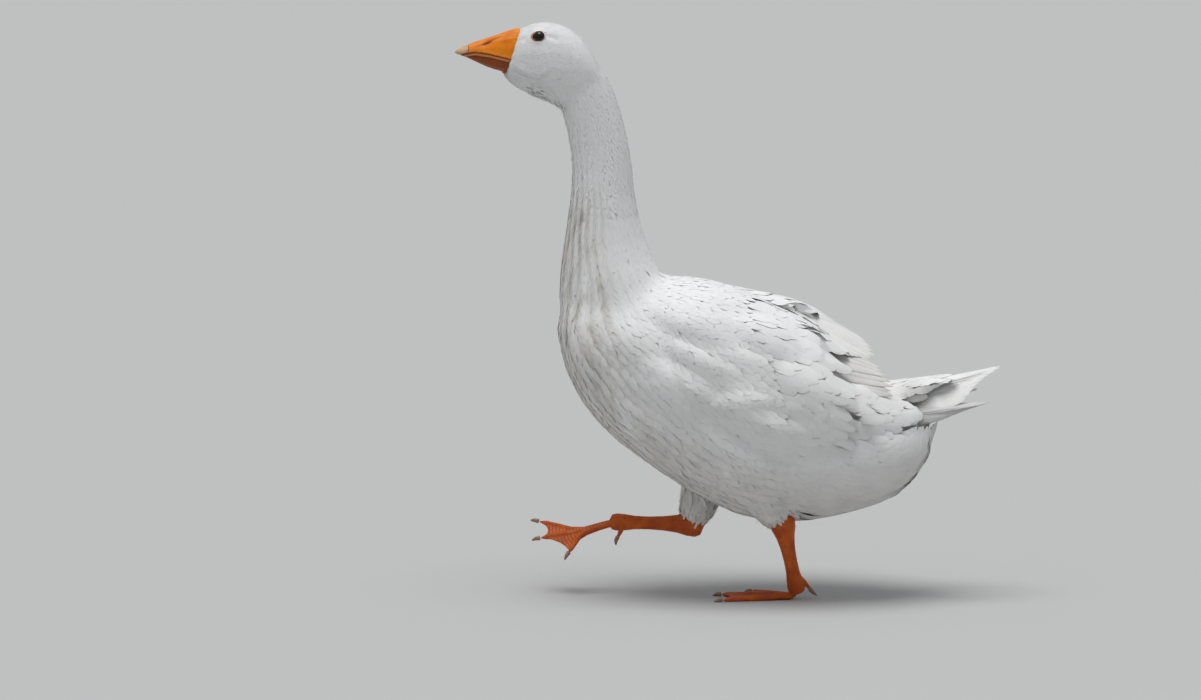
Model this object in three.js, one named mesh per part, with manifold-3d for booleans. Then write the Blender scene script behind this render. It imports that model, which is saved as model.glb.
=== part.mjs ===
// A domestic goose as a still model at life size. It walks on its left foot, with the right one lifted.
// Millimetres, +Z up. The goose faces -X, so its left side is at -Y. The origin is under its box's middle.
// The solids reach out to the tips of the feathers. Neighbouring parts are cut apart with a thin gap.
import * as THREE from "three";
import { mergeVertices } from "three/addons/utils/BufferGeometryUtils.js";
import Module from "manifold-3d";

const wasm = await Module();
wasm.setup();

// ---------------------------------------------------------------- driving dimensions

const GAP = 0.4; // clear space between neighbouring pieces
const LEFT = -1;
const RIGHT = 1;

// Stations along the body from front to back, at even steps: x, the heights of back, belly and widest
// level, and half the width there.
const TRUNK = [
  { x: -230, back: 390, belly: 292, wide: 340, half: 64 },
  { x: -170, back: 396, belly: 215, wide: 308, half: 79 },
  { x: -110, back: 405, belly: 167, wide: 288, half: 94 },
  { x: -51, back: 404, belly: 129, wide: 268, half: 105 },
  { x: 8, back: 387, belly: 103, wide: 250, half: 109 },
  { x: 68, back: 354, belly: 97, wide: 238, half: 106 },
  { x: 127, back: 310, belly: 106, wide: 228, half: 97 },
  { x: 187, back: 271, belly: 126, wide: 220, half: 75 },
  { x: 248, back: 256, belly: 168, wide: 222, half: 48 },
];
const TRUNK_ROUND = { front: 0.08, hind: 0.11, fullness: 0.94 };

// Stations down the neck: x, z, half depth from throat to nape, half width.
const NECK = [
  { x: -208, z: 668, deep: 31, half: 27 },
  { x: -192, z: 630, deep: 34, half: 28 },
  { x: -181, z: 594, deep: 35, half: 29 },
  { x: -173, z: 550, deep: 36.5, half: 31 },
  { x: -171.5, z: 500, deep: 40.5, half: 36 },
  { x: -169, z: 445, deep: 52, half: 45 },
  { x: -162, z: 395, deep: 65, half: 58 },
  { x: -145, z: 326, deep: 80, half: 74 },
];

const HEAD = [
  { x: -301, back: 688, belly: 656, wide: 668, half: 14 },
  { x: -277, back: 712, belly: 641, wide: 671, half: 22 },
  { x: -254, back: 722.5, belly: 631, wide: 671, half: 28.5 },
  { x: -231, back: 722, belly: 621, wide: 670, half: 31.5 },
  { x: -208, back: 712, belly: 612, wide: 668, half: 31.5 },
  { x: -186, back: 691, belly: 607, wide: 658, half: 29 },
  { x: -163, back: 652, belly: 604, wide: 632, half: 26 },
];
const HEAD_ROUND = { front: 0.16, hind: 0.3, fullness: 0.95 };

const BILL = [
  { x: -356, back: 688, belly: 684, wide: 686, half: 4.5 },
  { x: -343, back: 694, belly: 680.5, wide: 686, half: 9.5 },
  { x: -328, back: 700, belly: 673.5, wide: 684, half: 11.6 },
  { x: -312, back: 705, belly: 666.5, wide: 681, half: 13.2 },
  { x: -296, back: 710.5, belly: 662, wide: 677, half: 15.4 },
  { x: -279, back: 716, belly: 660, wide: 675, half: 18 },
  { x: -262, back: 717, belly: 660, wide: 675, half: 19.5 },
];
const BILL_ROUND = { front: 0.08, hind: 0.1, fullness: 0.9 };
const NAIL_EDGE = [[-340.5, 705], [-336.5, 680]]; // where the nail ends, as x and z
const FACE_EDGE = [[-274, 717], [-291, 662]]; // where bill and feathers meet, as x and z
const CHIN_EDGE = [[-305, 657.5], [-285, 662.5]]; // where the feathers of the chin meet the bill from below
const MOUTH_LINE = [[-366, 674], [-349, 683.5], [-330, 686.5], [-312, 684], [-291, 679], [-250, 671]];

const EYE = { x: -250, side: 16.6, z: 705.4, radius: 9 };

// The cuts between head, neck and trunk, each through two points of the x-z plane.
const THROAT_CUT = [[-218, 618], [-158, 664]];
const NECK_CUT = [[-215, 512], [-125, 518]];
const BREAST_CUT = [[-232, 380], [-95, 412]];

// The folded wing on the trunk: share of the trunk's length, angles from the back's ridge to the wing's
// middle line and from there to its edges, and its thickness above the trunk.
const WING = [
  { along: 0.28, middle: 64, spread: 20, thick: 7 },
  { along: 0.37, middle: 60, spread: 33, thick: 10 },
  { along: 0.47, middle: 57, spread: 41, thick: 12 },
  { along: 0.58, middle: 55, spread: 45, thick: 15 },
  { along: 0.69, middle: 54, spread: 46, thick: 20 },
  { along: 0.8, middle: 56, spread: 42, thick: 20 },
];
const WING_LIFT = { left: 4, right: 23 }; // how far the upper edge is raised above the back
const WING_DEPTH = 9; // how far the wing is sunk in the trunk's plumage
const WING_CUT = [[118, 150], [92, 420]]; // where the coverts end over the flight feathers, as x and z

// Bundles of long feathers: root, tip, half width, half thickness, rise of the middle and lean in degrees.
const FLIGHT = {
  left: { root: [62, -52, 314], tip: [211, -42, 275], wide: 34, thick: 7, bow: 4, lean: 52 },
  right: { root: [66, 50, 322], tip: [175, 36, 313], wide: 30, thick: 7, bow: 0, lean: -52 },
};
const TAIL = {
  tail: { root: [186, 0, 254], tip: [328, 0, 288], wide: 44, thick: 9, bow: -2, lean: 17 },
  tail_left: { root: [180, -32, 232], tip: [308, -24, 249], wide: 19, thick: 7, bow: 2, lean: 50 },
  tail_right: { root: [180, 32, 240], tip: [302, 36, 260], wide: 15, thick: 6, bow: 3, lean: -20 },
};

// The legs: hip end of the thigh inside the trunk, hock, toe joint and the direction the shank is deep in.
const LEGS = {
  left: { hip: [8, -52, 172], hock: [53, -42, 99], joint: [71, -16, 14], front: [-1, 0, 0] },
  right: { hip: [-30, 56, 178], hock: [-59, 47, 86], joint: [-155, 45, 89], front: [0, 0, 1] },
};
// Half depths of the legs, and their width over their depth.
const SHANK = { hock: 16.5, upper: 11.5, middle: 8.8, joint: 11.3, narrow: 0.7 };
const THIGH = { hip: 40, hock: 17, narrow: 0.78 };
const TOE_HALF = { inner: 4.4, middle: 5, outer: 4.6, hind: 3.4 };
const LEFT_TOES = { inner: [43, 78], middle: [15, 99], outer: [-12, 97] }; // degrees inwards, length
const RIGHT_TOES = { // the bend and the end of each
  inner: [[-199, 36, 74], [-215, 20, 53]],
  middle: [[-203, 43, 76], [-252, 40, 69]],
  outer: [[-203, 50, 77], [-254, 60, 88]],
};
const HIND_TOES = { left: [[75, -15, 29], [89, -13, 12]], right: [[-145, 41, 87], [-153, 36, 70]] };
const CLAW = { length: 12, half: 3.2 };
const WEB_HALF = 1.2;
const WEB_SCALLOP = 0.3;

// ---------------------------------------------------------------- making solids

const radians = THREE.MathUtils.degToRad;
const at = (p) => new THREE.Vector3(...p);
const UP = at([0, 0, 1]);

// The solid that a closed geometry encloses.
function solidOf(geometry) {
  const bare = new THREE.BufferGeometry();
  bare.setAttribute("position", geometry.getAttribute("position"));
  if (geometry.index) bare.setIndex(geometry.index);
  const merged = mergeVertices(bare, 1e-3);
  const vertProperties = new Float32Array(merged.getAttribute("position").array);
  const triVerts = new Uint32Array(merged.index.array);
  const make = () => new wasm.Manifold(new wasm.Mesh({ numProp: 3, vertProperties, triVerts }));
  const solid = make();
  if (solid.volume() > 0) return solid;
  for (let i = 0; i < triVerts.length; i += 3) triVerts.subarray(i, i + 3).reverse();
  return make();
}

function geometryOf(solid) {
  const { vertProperties, triVerts } = solid.getMesh();
  const geometry = new THREE.BufferGeometry();
  geometry.setAttribute("position", new THREE.BufferAttribute(new Float32Array(vertProperties), 3));
  geometry.setIndex(new THREE.BufferAttribute(new Uint32Array(triVerts), 1));
  geometry.computeVertexNormals();
  return geometry;
}

const joined = (solids) => solids.reduce((whole, solid) => whole.add(solid));
const bodiesOf = (solid) => solid.decompose().sort((a, b) => b.volume() - a.volume());

// A closed solid from place(along, around): its surface at 0 to 1 along it and at an angle around it.
function shaped(place, rings, sides) {
  const geometry = new THREE.SphereGeometry(1, sides, rings);
  const position = geometry.getAttribute("position");
  for (let i = 0; i < position.count; i++) {
    const ring = Math.floor(i / (sides + 1));
    const side = (i % (sides + 1)) % sides;
    const around = ring === 0 || ring === rings ? 0 : (2 * Math.PI * side) / sides;
    const p = place(ring / rings, around);
    position.setXYZ(i, p.x, p.y, p.z);
  }
  return solidOf(geometry);
}

// 0 at each end and 1 between them, rounded as a ball's end is over the given shares of the length.
function endRound(along, front, hind) {
  const dome = (share) => Math.sqrt(Math.max(0, 1 - (1 - Math.min(share, 1)) ** 2));
  return dome(along / front) * dome((1 - along) / hind);
}

// Rings crowd towards both ends, where the surface turns fastest.
const crowded = (along) => 0.5 * along + 0.25 * (1 - Math.cos(Math.PI * along));
const curveOf = (points) => new THREE.CatmullRomCurve3(points, false, "catmullrom", 0.5);
const power = (v, fullness) => Math.sign(v) * Math.abs(v) ** fullness;

// The surface of a body with upright sections. room moves it outwards.
function uprightSurface(stations, { front, hind, fullness }) {
  const lines = curveOf(stations.map((s) => at([s.x, s.back, s.belly])));
  const girth = curveOf(stations.map((s) => at([s.wide, s.half, 0])));
  return (along, around, room = 0) => {
    const line = lines.getPoint(along);
    const { x: wide, y: half } = girth.getPoint(along);
    const end = endRound(along, front, hind);
    const c = Math.cos(around);
    const s = Math.sin(around);
    const rise = c > 0 ? line.y - wide : wide - line.z;
    const y = power(s, fullness) * (half * end + room);
    return at([line.x, y, wide + power(c, fullness) * (rise * end + room)]);
  };
}

function uprightSolid(stations, round, rings, sides) {
  const surface = uprightSurface(stations, round);
  return shaped((along, around) => surface(crowded(along), around), rings, sides);
}

// A body round a line. Its sections stand square to the line, deep towards up and wide across it.
function limb({ line, deep, wide, up, round = [0.1, 0.1], rings = 12, sides = 12 }) {
  const spine = curveOf(line);
  const sizes = curveOf(deep.map((d, i) => at([d, wide[i], 0])));
  const place = (step, around) => {
    const along = crowded(step);
    const forward = spine.getTangent(Math.min(Math.max(along, 0.002), 0.998));
    const across = new THREE.Vector3().crossVectors(forward, up).normalize();
    const over = new THREE.Vector3().crossVectors(across, forward).normalize();
    const size = sizes.getPoint(along);
    const end = endRound(along, round[0], round[1]);
    return spine
      .getPoint(along)
      .addScaledVector(over, Math.cos(around) * size.x * end)
      .addScaledVector(across, Math.sin(around) * size.y * end);
  };
  return shaped(place, rings, sides);
}

// The two sides of a cut: what lies beyond a plane along its normal, then the rest.
function cutAcross(solid, origin, normal) {
  const level = normal.dot(origin);
  const back = normal.clone().negate();
  return [
    solid.trimByPlane(normal.toArray(), level + GAP / 2),
    solid.trimByPlane(back.toArray(), -level + GAP / 2),
  ];
}

// The two sides of a cut along a line of the x-z plane: first what is above a line that runs backwards,
// or behind one that runs down.
function cutAlong(solid, [[x0, z0], [x1, z1]]) {
  return cutAcross(solid, at([x0, 0, z0]), at([z0 - z1, 0, x1 - x0]).normalize());
}

// ---------------------------------------------------------------- trunk, neck, head and bill

const trunkSurface = uprightSurface(TRUNK, TRUNK_ROUND);
const trunkBody = (room = 0) =>
  shaped((along, around) => trunkSurface(crowded(along), around, room), 19, 22);

const neckBody = limb({
  line: NECK.map((s) => at([s.x, 0, s.z])),
  deep: NECK.map((s) => s.deep),
  wide: NECK.map((s) => s.half),
  up: at([-1, 0, 0]),
  round: [0.06, 0.1],
  rings: 15,
  sides: 18,
});

const eyeAt = (side, room = 0) => {
  const ball = new THREE.SphereGeometry(EYE.radius + room, 12, 8);
  return solidOf(ball.translate(EYE.x, side * EYE.side, EYE.z));
};

// The mouth is a thin curved sheet between the two halves of the bill.
function mouthSheet() {
  const line = curveOf(MOUTH_LINE.map(([x, z]) => at([x, 0, z])));
  const geometry = new THREE.BoxGeometry(1, 80, GAP, 8, 1, 1);
  const position = geometry.getAttribute("position");
  for (let i = 0; i < position.count; i++) {
    const p = line.getPoint(position.getX(i) + 0.5);
    position.setXYZ(i, p.x, position.getY(i), p.z + position.getZ(i));
  }
  return solidOf(geometry);
}

// ---------------------------------------------------------------- wings and tail

const wingSizes = curveOf(WING.map((s) => at([s.along, s.middle, s.spread])));
const wingThickness = curveOf(WING.map((s) => at([s.thick, 0, 0])));

// The lens of one folded wing, which bulges out of the trunk's side. room makes it larger, for its pocket.
function wingBody(side, lift, room = 0) {
  const place = (step, around) => {
    const { x: along, y: middle, z: spread } = wingSizes.getPoint(step);
    const end = endRound(step, 0.16, 0.14);
    const angle = radians(middle + (spread * end + room * 1.2) * Math.cos(around));
    const out = (Math.sin(around) > 0 ? wingThickness.getPoint(step).x : WING_DEPTH) * end + room;
    const past = step === 0 || step === 1 ? 0.03 * room * (2 * step - 1) : 0;
    const surface = trunkSurface(along + past, side * angle);
    const outward = at([0, surface.y, surface.z - trunkSurface(along, radians(90)).z]).normalize();
    const hump = THREE.MathUtils.smoothstep(step, 0.42, 0.8) * Math.max(0, -Math.cos(around));
    surface.z += lift * end * hump;
    return surface.addScaledVector(outward, out * Math.sin(around));
  };
  return shaped(place, 12, 14);
}

// A bundle of long feathers as one flat blade.
function blade({ root, tip, wide, thick, bow, lean }, room = 0) {
  const from = at(root);
  const to = at(tip);
  const direction = to.clone().sub(from).normalize();
  const up = UP.clone().applyAxisAngle(direction, radians(lean));
  from.addScaledVector(direction, -2 * room);
  to.addScaledVector(direction, 2 * room);
  return limb({
    line: [from, from.clone().lerp(to, 0.5).addScaledVector(up, bow), to],
    deep: [thick, thick * 0.8, thick * 0.25].map((half) => half + room),
    wide: [wide, wide * 0.8, wide * 0.3].map((half) => half + room),
    up,
    round: [0.08, 0.12],
    rings: 8,
    sides: 10,
  });
}

// ---------------------------------------------------------------- legs and feet

// A web between two toes, thin and scalloped at its free edge.
function webBetween(first, second, reach, up) {
  const geometry = new THREE.BoxGeometry(1, 1, 2, 3, 4, 1);
  const position = geometry.getAttribute("position");
  for (let i = 0; i < position.count; i++) {
    const across = position.getY(i) + 0.5;
    const scallop = 1 - WEB_SCALLOP * across * (1 - across);
    const along = 0.06 + (position.getX(i) + 0.5) * (reach - 0.06) * scallop;
    const p = first.getPoint(along).lerp(second.getPoint(along), across);
    p.addScaledVector(up, position.getZ(i) * WEB_HALF);
    position.setXYZ(i, p.x, p.y, p.z);
  }
  return solidOf(geometry);
}

function toeBody(points, half, up) {
  const sizes = [1.1, 0.85, 0.98, 0.75, 0.68].map((share) => share * half);
  return limb({ line: points, deep: sizes, wide: sizes, up, round: [0.08, 0.06], rings: 7, sides: 6 });
}

// A claw on the end of a toe, curving down to its point.
function clawBody(end, direction, up) {
  const sizes = [1, 0.8, 0.3].map((share) => share * CLAW.half);
  const line = [
    end.clone().addScaledVector(direction, -4),
    end.clone().addScaledVector(direction, CLAW.length * 0.5).addScaledVector(up, 0.4),
    end.clone().addScaledVector(direction, CLAW.length).addScaledVector(up, -2.6),
  ];
  return limb({ line, deep: sizes, wide: sizes, up, round: [0.1, 0.25], rings: 4, sides: 6 });
}

// A toe's line from the toe joint by its bend to its end, arched a little at its knuckles.
function toeLine(root, bend, end, up) {
  const points = [root, root.clone().lerp(bend, 0.5), bend, bend.clone().lerp(end, 0.5), end];
  return [0, 0.9, 0, 0.6, 0].map((rise, i) => points[i].clone().addScaledVector(up, rise));
}

// A foot and its claws, from the bends and ends of its toes. The sole faces away from up.
function footOf(joint, toes, hindToe, up, trim) {
  const lines = {};
  for (const [name, [bend, end]] of Object.entries(toes)) lines[name] = toeLine(joint, bend, end, up);
  const [inner, middle, outer] = ["inner", "middle", "outer"].map((name) => curveOf(lines[name]));
  const pieces = [webBetween(inner, middle, 0.94, up), webBetween(middle, outer, 0.94, up)];
  lines.hind = [0, 0.25, 0.5, 0.75, 1].map((share) => at(hindToe[0]).lerp(at(hindToe[1]), share));
  const claws = {};
  for (const [name, line] of Object.entries(lines)) {
    const direction = line[4].clone().sub(line[3]).normalize();
    const end = line[4].clone().addScaledVector(direction, -2);
    const over = name === "hind" ? at([-1, 0, 0.3]).normalize() : up;
    pieces.push(cutAcross(toeBody(line, TOE_HALF[name], over), end, direction)[1]);
    claws[name] = trim(cutAcross(clawBody(end, direction, over), end, direction)[0]);
  }
  return { foot: trim(joined(pieces)), claws };
}

function leftFoot() {
  const [x, y] = LEGS.left.joint;
  const joint = at([x, y, 4]);
  const toes = {};
  for (const [name, [degrees, length]] of Object.entries(LEFT_TOES)) {
    const angle = radians(degrees);
    const end = at([x - length * Math.cos(angle), y + length * Math.sin(angle), TOE_HALF[name] * 0.42]);
    toes[name] = [joint.clone().lerp(end, 0.5), end];
  }
  return footOf(joint, toes, HIND_TOES.left, UP, (solid) => solid.trimByPlane([0, 0, 1], 0));
}

function rightFoot() {
  const joint = at(LEGS.right.joint);
  const toes = {};
  for (const [name, points] of Object.entries(RIGHT_TOES)) toes[name] = points.map(at);
  const across = toes.outer[1].clone().sub(toes.inner[1]);
  const up = toes.middle[1].clone().sub(joint).cross(across).normalize();
  if (up.z < 0) up.negate();
  return footOf(joint, toes, HIND_TOES.right, up, (solid) => solid);
}

function shankBody({ hock, joint, front }) {
  const line = [-0.17, 0, 0.21, 0.46, 0.74, 0.95, 1.1].map((share) => at(hock).lerp(at(joint), share));
  const { hock: h, upper, middle, joint: j } = SHANK;
  const deep = [h * 0.85, h, upper, middle, middle, j, j * 0.85];
  const wide = deep.map((half) => half * SHANK.narrow);
  return limb({ line, deep, wide, up: at(front), round: [0.1, 0.08], rings: 11, sides: 10 });
}

function thighBody({ hip, hock }) {
  const line = [0, 0.35, 0.7, 1.05].map((share) => at(hip).lerp(at(hock), share));
  const deep = [0, 0.28, 0.66, 1].map((share) => THIGH.hip + (THIGH.hock - THIGH.hip) * share);
  const wide = deep.map((half) => half * THIGH.narrow);
  return limb({ line, deep, wide, up: at([-1, 0, 0]), round: [0.2, 0.1], rings: 10, sides: 12 });
}

// ---------------------------------------------------------------- the whole goose

const materials = {
  plumage: new THREE.MeshStandardMaterial({ color: 0xeceae4, roughness: 0.85, metalness: 0 }),
  bill: new THREE.MeshStandardMaterial({ color: 0xf28a1c, roughness: 0.5, metalness: 0 }),
  lower_bill: new THREE.MeshStandardMaterial({ color: 0xc4621c, roughness: 0.5, metalness: 0 }),
  horn: new THREE.MeshStandardMaterial({ color: 0xdccab0, roughness: 0.45, metalness: 0 }),
  eye: new THREE.MeshStandardMaterial({ color: 0x24140c, roughness: 0.08, metalness: 0 }),
  leg: new THREE.MeshStandardMaterial({ color: 0xd9581c, roughness: 0.6, metalness: 0 }),
};

const parts = new THREE.Group();
function add(name, solid, material) {
  const mesh = new THREE.Mesh(geometryOf(bodiesOf(solid)[0]), material);
  mesh.name = name;
  parts.add(mesh);
}

const headBody = uprightSolid(HEAD, HEAD_ROUND, 13, 20).add(uprightSolid(BILL, BILL_ROUND, 13, 16));
const block = solidOf(new THREE.BoxGeometry(400, 200, 400).translate(-300, 0, 700));
const ahead = cutAlong(block, FACE_EDGE)[1];
const bill = cutAlong(ahead.intersect(headBody), CHIN_EDGE)[0];
const face = headBody.subtract(cutAlong(ahead.translate(GAP, 0, 0), CHIN_EDGE)[0].translate(0, 0, -GAP));
const [upperBill, lowerBill] = bodiesOf(bill.subtract(mouthSheet()));
const [upperBody, nail] = cutAlong(upperBill, NAIL_EDGE);

const sockets = eyeAt(LEFT, GAP).add(eyeAt(RIGHT, GAP));
const plumage = joined([face, neckBody, trunkBody()]).subtract(sockets);
const [head, belowHead] = cutAlong(plumage, THROAT_CUT);
const [neck, trunk] = cutAlong(belowHead, BREAST_CUT);
const [neckUpper, neckLower] = cutAlong(neck, NECK_CUT);

const wholeWing = (name, room = 0) => {
  const coverts = wingBody(name === "left" ? LEFT : RIGHT, WING_LIFT[name], room);
  return coverts.add(blade(FLIGHT[name], room));
};
const pockets = joined([
  wholeWing("left", GAP),
  wholeWing("right", GAP),
  ...Object.values(TAIL).map((feathers) => blade(feathers, GAP)),
]);
const tailRoom = blade(TAIL.tail, GAP);

add("head", head, materials.plumage);
add("neck_upper", neckUpper, materials.plumage);
add("neck_lower", neckLower, materials.plumage);
add("trunk", trunk.subtract(pockets), materials.plumage);
add("upper_bill", upperBody, materials.bill);
add("lower_bill", lowerBill, materials.lower_bill);
add("bill_nail", nail, materials.horn);
for (const [name, side] of [["left", LEFT], ["right", RIGHT]]) {
  const [coverts, feathers] = cutAlong(wholeWing(name), WING_CUT);
  add(`${name}_eye`, eyeAt(side), materials.eye);
  add(`${name}_wing`, coverts, materials.plumage);
  add(`${name}_flight_feathers`, feathers.subtract(tailRoom), materials.plumage);
}
add("tail", blade(TAIL.tail), materials.plumage);
add("tail_left", blade(TAIL.tail_left).subtract(tailRoom), materials.plumage);
add("tail_right", blade(TAIL.tail_right).subtract(tailRoom), materials.plumage);

const feet = { left: leftFoot(), right: rightFoot() };
for (const name of ["left", "right"]) {
  const leg = LEGS[name];
  const down = at(leg.joint).sub(at(leg.hock)).normalize();
  const thighward = at(leg.hock).sub(at(leg.hip)).normalize();
  const thighEnd = at(leg.hock).addScaledVector(thighward, -10);
  const footStart = at(leg.joint).addScaledVector(down, -20);
  const [foot, shank] = cutAcross(shankBody(leg).add(feet[name].foot), footStart, down);
  const thigh = cutAcross(thighBody(leg), thighEnd, thighward)[1];
  const hocked = cutAcross(shank, thighEnd, thighward)[0];
  add(`${name}_thigh`, thigh.subtract(trunkBody(GAP)), materials.plumage);
  add(`${name}_shank`, hocked.subtract(trunkBody(GAP)), materials.leg);
  add(`${name}_foot`, foot, materials.leg);
  for (const [toe, claw] of Object.entries(feet[name].claws)) {
    add(`${name}_${toe}_claw`, claw, materials.horn);
  }
}

const box = new THREE.Box3().setFromObject(parts);
const centre = box.getCenter(new THREE.Vector3());
parts.position.set(-centre.x, -centre.y, -box.min.z);
const goose = new THREE.Group();
goose.add(parts);

export default goose;
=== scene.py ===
"""A life-size white domestic goose: skin, plumage, bill, eyes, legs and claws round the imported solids."""

import math

import bmesh
import bpy
import numpy as np
from bpy.props import FloatProperty, FloatVectorProperty, IntProperty, PointerProperty
from bpy.types import Operator, Panel, PropertyGroup
from mathutils import Matrix, Vector
from mathutils.bvhtree import BVHTree
from mathutils.kdtree import KDTree


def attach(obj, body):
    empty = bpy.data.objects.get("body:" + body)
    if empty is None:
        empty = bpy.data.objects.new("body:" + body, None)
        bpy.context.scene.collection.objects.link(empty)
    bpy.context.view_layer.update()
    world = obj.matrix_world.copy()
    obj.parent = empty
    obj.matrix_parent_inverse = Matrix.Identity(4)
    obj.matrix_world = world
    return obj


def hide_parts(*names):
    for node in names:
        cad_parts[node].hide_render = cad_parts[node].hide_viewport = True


bl_info = {
    "name": "Domestic goose",
    "version": (1, 0, 0),
    "blender": (4, 5, 0),
    "location": "View3D > Sidebar > Goose",
    "description": "Builds a life-size domestic goose with its plumage",
    "category": "Add Mesh",
}

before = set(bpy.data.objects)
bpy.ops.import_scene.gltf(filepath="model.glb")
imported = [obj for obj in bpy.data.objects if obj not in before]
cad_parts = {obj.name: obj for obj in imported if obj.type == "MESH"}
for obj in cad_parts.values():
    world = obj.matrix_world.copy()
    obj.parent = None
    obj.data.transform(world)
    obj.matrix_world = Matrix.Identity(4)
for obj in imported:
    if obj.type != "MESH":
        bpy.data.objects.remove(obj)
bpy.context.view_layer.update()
BODY = "root"

# ------------------------------------------------------------ sizes, in metres

# The line that the coat runs along, from the brow down the neck and back to the tail, as x and z.
SPINE = (
    (-0.275, 0.684), (-0.225, 0.683), (-0.190, 0.665), (-0.172, 0.625), (-0.160, 0.570),
    (-0.157, 0.500), (-0.154, 0.440), (-0.135, 0.375), (-0.090, 0.315), (-0.020, 0.262),
    (0.070, 0.232), (0.160, 0.222), (0.250, 0.235), (0.330, 0.262),
)
# The coat at distances along the spine: depth over the skin, and each feather's length, half width
# and room, in millimetres.
COAT = (
    (0.000, 0.9, 4.6, 0.80, 0.98),
    (0.030, 1.4, 5.6, 0.88, 1.05),
    (0.090, 2.2, 8.0, 1.10, 1.25),
    (0.133, 3.0, 10.5, 1.35, 1.50),
    (0.190, 4.0, 14.5, 1.70, 1.80),
    (0.260, 4.8, 17.5, 2.10, 2.2),
    (0.320, 5.6, 20.0, 2.60, 2.8),
    (0.387, 6.6, 25.0, 3.50, 3.7),
    (0.460, 7.4, 30.0, 4.60, 4.6),
    (0.550, 8.2, 34.0, 5.40, 5.3),
    (0.645, 8.2, 36.0, 5.90, 5.7),
    (0.910, 7.6, 36.0, 5.90, 5.7),
)
# Soft swells of the plumage on each side: centre x and z, half length, half width upwards and
# downwards, tilt in degrees (down to the back) and height in units of SWELL_UNITS to a metre.
SWELL_UNITS = 760
SWELLS = (
    (-0.048, 0.355, 0.066, 0.036, 0.022, 20, 5.5),
    (0.045, 0.336, 0.048, 0.034, 0.020, 26, 6.0),
    (0.108, 0.343, 0.056, 0.024, 0.016, 32, 4.5),
    (-0.036, 0.313, 0.056, 0.014, 0.020, 24, 3.5),
    (-0.062, 0.280, 0.062, 0.026, 0.042, 27, 7.0),
    (0.012, 0.258, 0.044, 0.020, 0.030, -2, 5.0),
    (0.054, 0.229, 0.046, 0.022, 0.034, 18, 5.5),
    (0.190, 0.182, 0.104, 0.036, 0.066, -6, 6.5),
    (0.030, 0.180, 0.060, 0.022, 0.034, 22, 4.0),
    (-0.012, 0.209, 0.048, 0.018, 0.026, 28, 3.5),
    (0.090, 0.280, 0.046, 0.022, 0.022, 28, 3.0),
    (0.146, 0.262, 0.040, 0.022, 0.022, 30, 3.0),
    (-0.118, 0.330, 0.050, 0.034, 0.036, 40, 3.0),
    (-0.118, 0.235, 0.056, 0.020, 0.030, 34, 3.5),
    (-0.060, 0.205, 0.050, 0.016, 0.022, 36, 2.5),
)
# Folds in the feathers of the head, on each side: a line of x and z, half width and depth in
# millimetres, and how much the side above the line puffs out over it.
FOLDS = (
    ((
        (-0.271, 0.6655), (-0.2577, 0.6605), (-0.248, 0.6568), (-0.238, 0.6555), (-0.2286, 0.658),
        (-0.222, 0.663),
    ), 2.0, 1.2, 0.9),
    (((-0.2265, 0.7065), (-0.219, 0.7050), (-0.211, 0.7020)), 3.2, 1.1, 0.0),
    (((-0.2520, 0.7035), (-0.2600, 0.7020)), 2.4, 0.6, 0.0),
)
# What fills the root of the tail and the soft part below it: distance, height, half width and half
# thickness at the front and at the back.
TAIL_ROOT = (
    ((0.190, 0.2485, 0.048, 0.024), (0.281, 0.2795, 0.023, 0.0038)),
    ((0.190, 0.2290, 0.050, 0.020), (0.264, 0.2350, 0.021, 0.0080)),
)
FLESH = (
    "head", "neck_upper", "neck_lower", "trunk", "left_wing", "right_wing", "left_thigh", "right_thigh",
)
LEGS = ("left_shank", "right_shank", "left_foot", "right_foot")
CLAWS = ("inner", "middle", "outer", "hind")
THIGHS = {  # hip and hock
    "left": ((0.022, -0.052, 0.172), (0.067, -0.042, 0.099)),
    "right": ((-0.016, 0.056, 0.178), (-0.045, 0.047, 0.086)),
}
SHANKS = {  # hock and toe joint
    "left": ((0.067, -0.042, 0.099), (0.085, -0.016, 0.014)),
    "right": ((-0.045, 0.047, 0.086), (-0.141, 0.045, 0.089)),
}
EYE = (-0.236, 0.0166, 0.7054)
EYE_RADIUS = 0.009
EYE_AXIS = (-0.14, 0.93, 0.33)
BILL_HEIGHT = 0.690
NOSTRIL = (-0.3015, 0.6982)
NOSTRIL_TILT = 24  # degrees
MOUTH = (
    (-0.352, 0.674), (-0.335, 0.6835), (-0.316, 0.6865), (-0.298, 0.684), (-0.277, 0.679), (-0.236, 0.671),
)
# Sizes of the even quads that each kind of piece is remeshed with.
BODY_QUAD, LEG_QUAD, BILL_QUAD, CLAW_QUAD = 0.0032, 0.00105, 0.0006, 0.0005
SPINE_STEPS = 240
BATCH = 20000  # points charted at a time
BLEND = 0.012  # distance over which neighbouring stretches of the spine share a point
HEAD_END, NECK_MIDDLE, NECK_END = 0.125, 0.27, 0.40  # distances along the spine
THIGH_DEPTH = 0.003  # of the coat on the thighs
TUFT_PATCH = 0.003  # size of one feather on the OFBake map
BARB, SCUTE = 0.0007, 0.0042  # from one barb to the next, and from one wide scale to the next

# ------------------------------------------------------------ numbers


def lerp(a, b, t):
    """The value at share t of the way from a to b."""
    return a + (b - a) * t


def smoothstep(value, low, high):
    """A soft step from 0 at low to 1 at high."""
    t = np.clip((value - low) / (high - low), 0.0, 1.0)
    return t * t * (3 - 2 * t)


def unit(v):
    """Vectors made one long."""
    return v / np.maximum(np.linalg.norm(v, axis=-1, keepdims=True), 1e-12)


def dot(a, b):
    """Dot products of rows of vectors, kept as a column."""
    return np.sum(a * b, axis=-1, keepdims=True)


def flat_part(v, normal):
    """What is left of vectors across their normals."""
    return v - normal * dot(v, normal)


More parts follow.
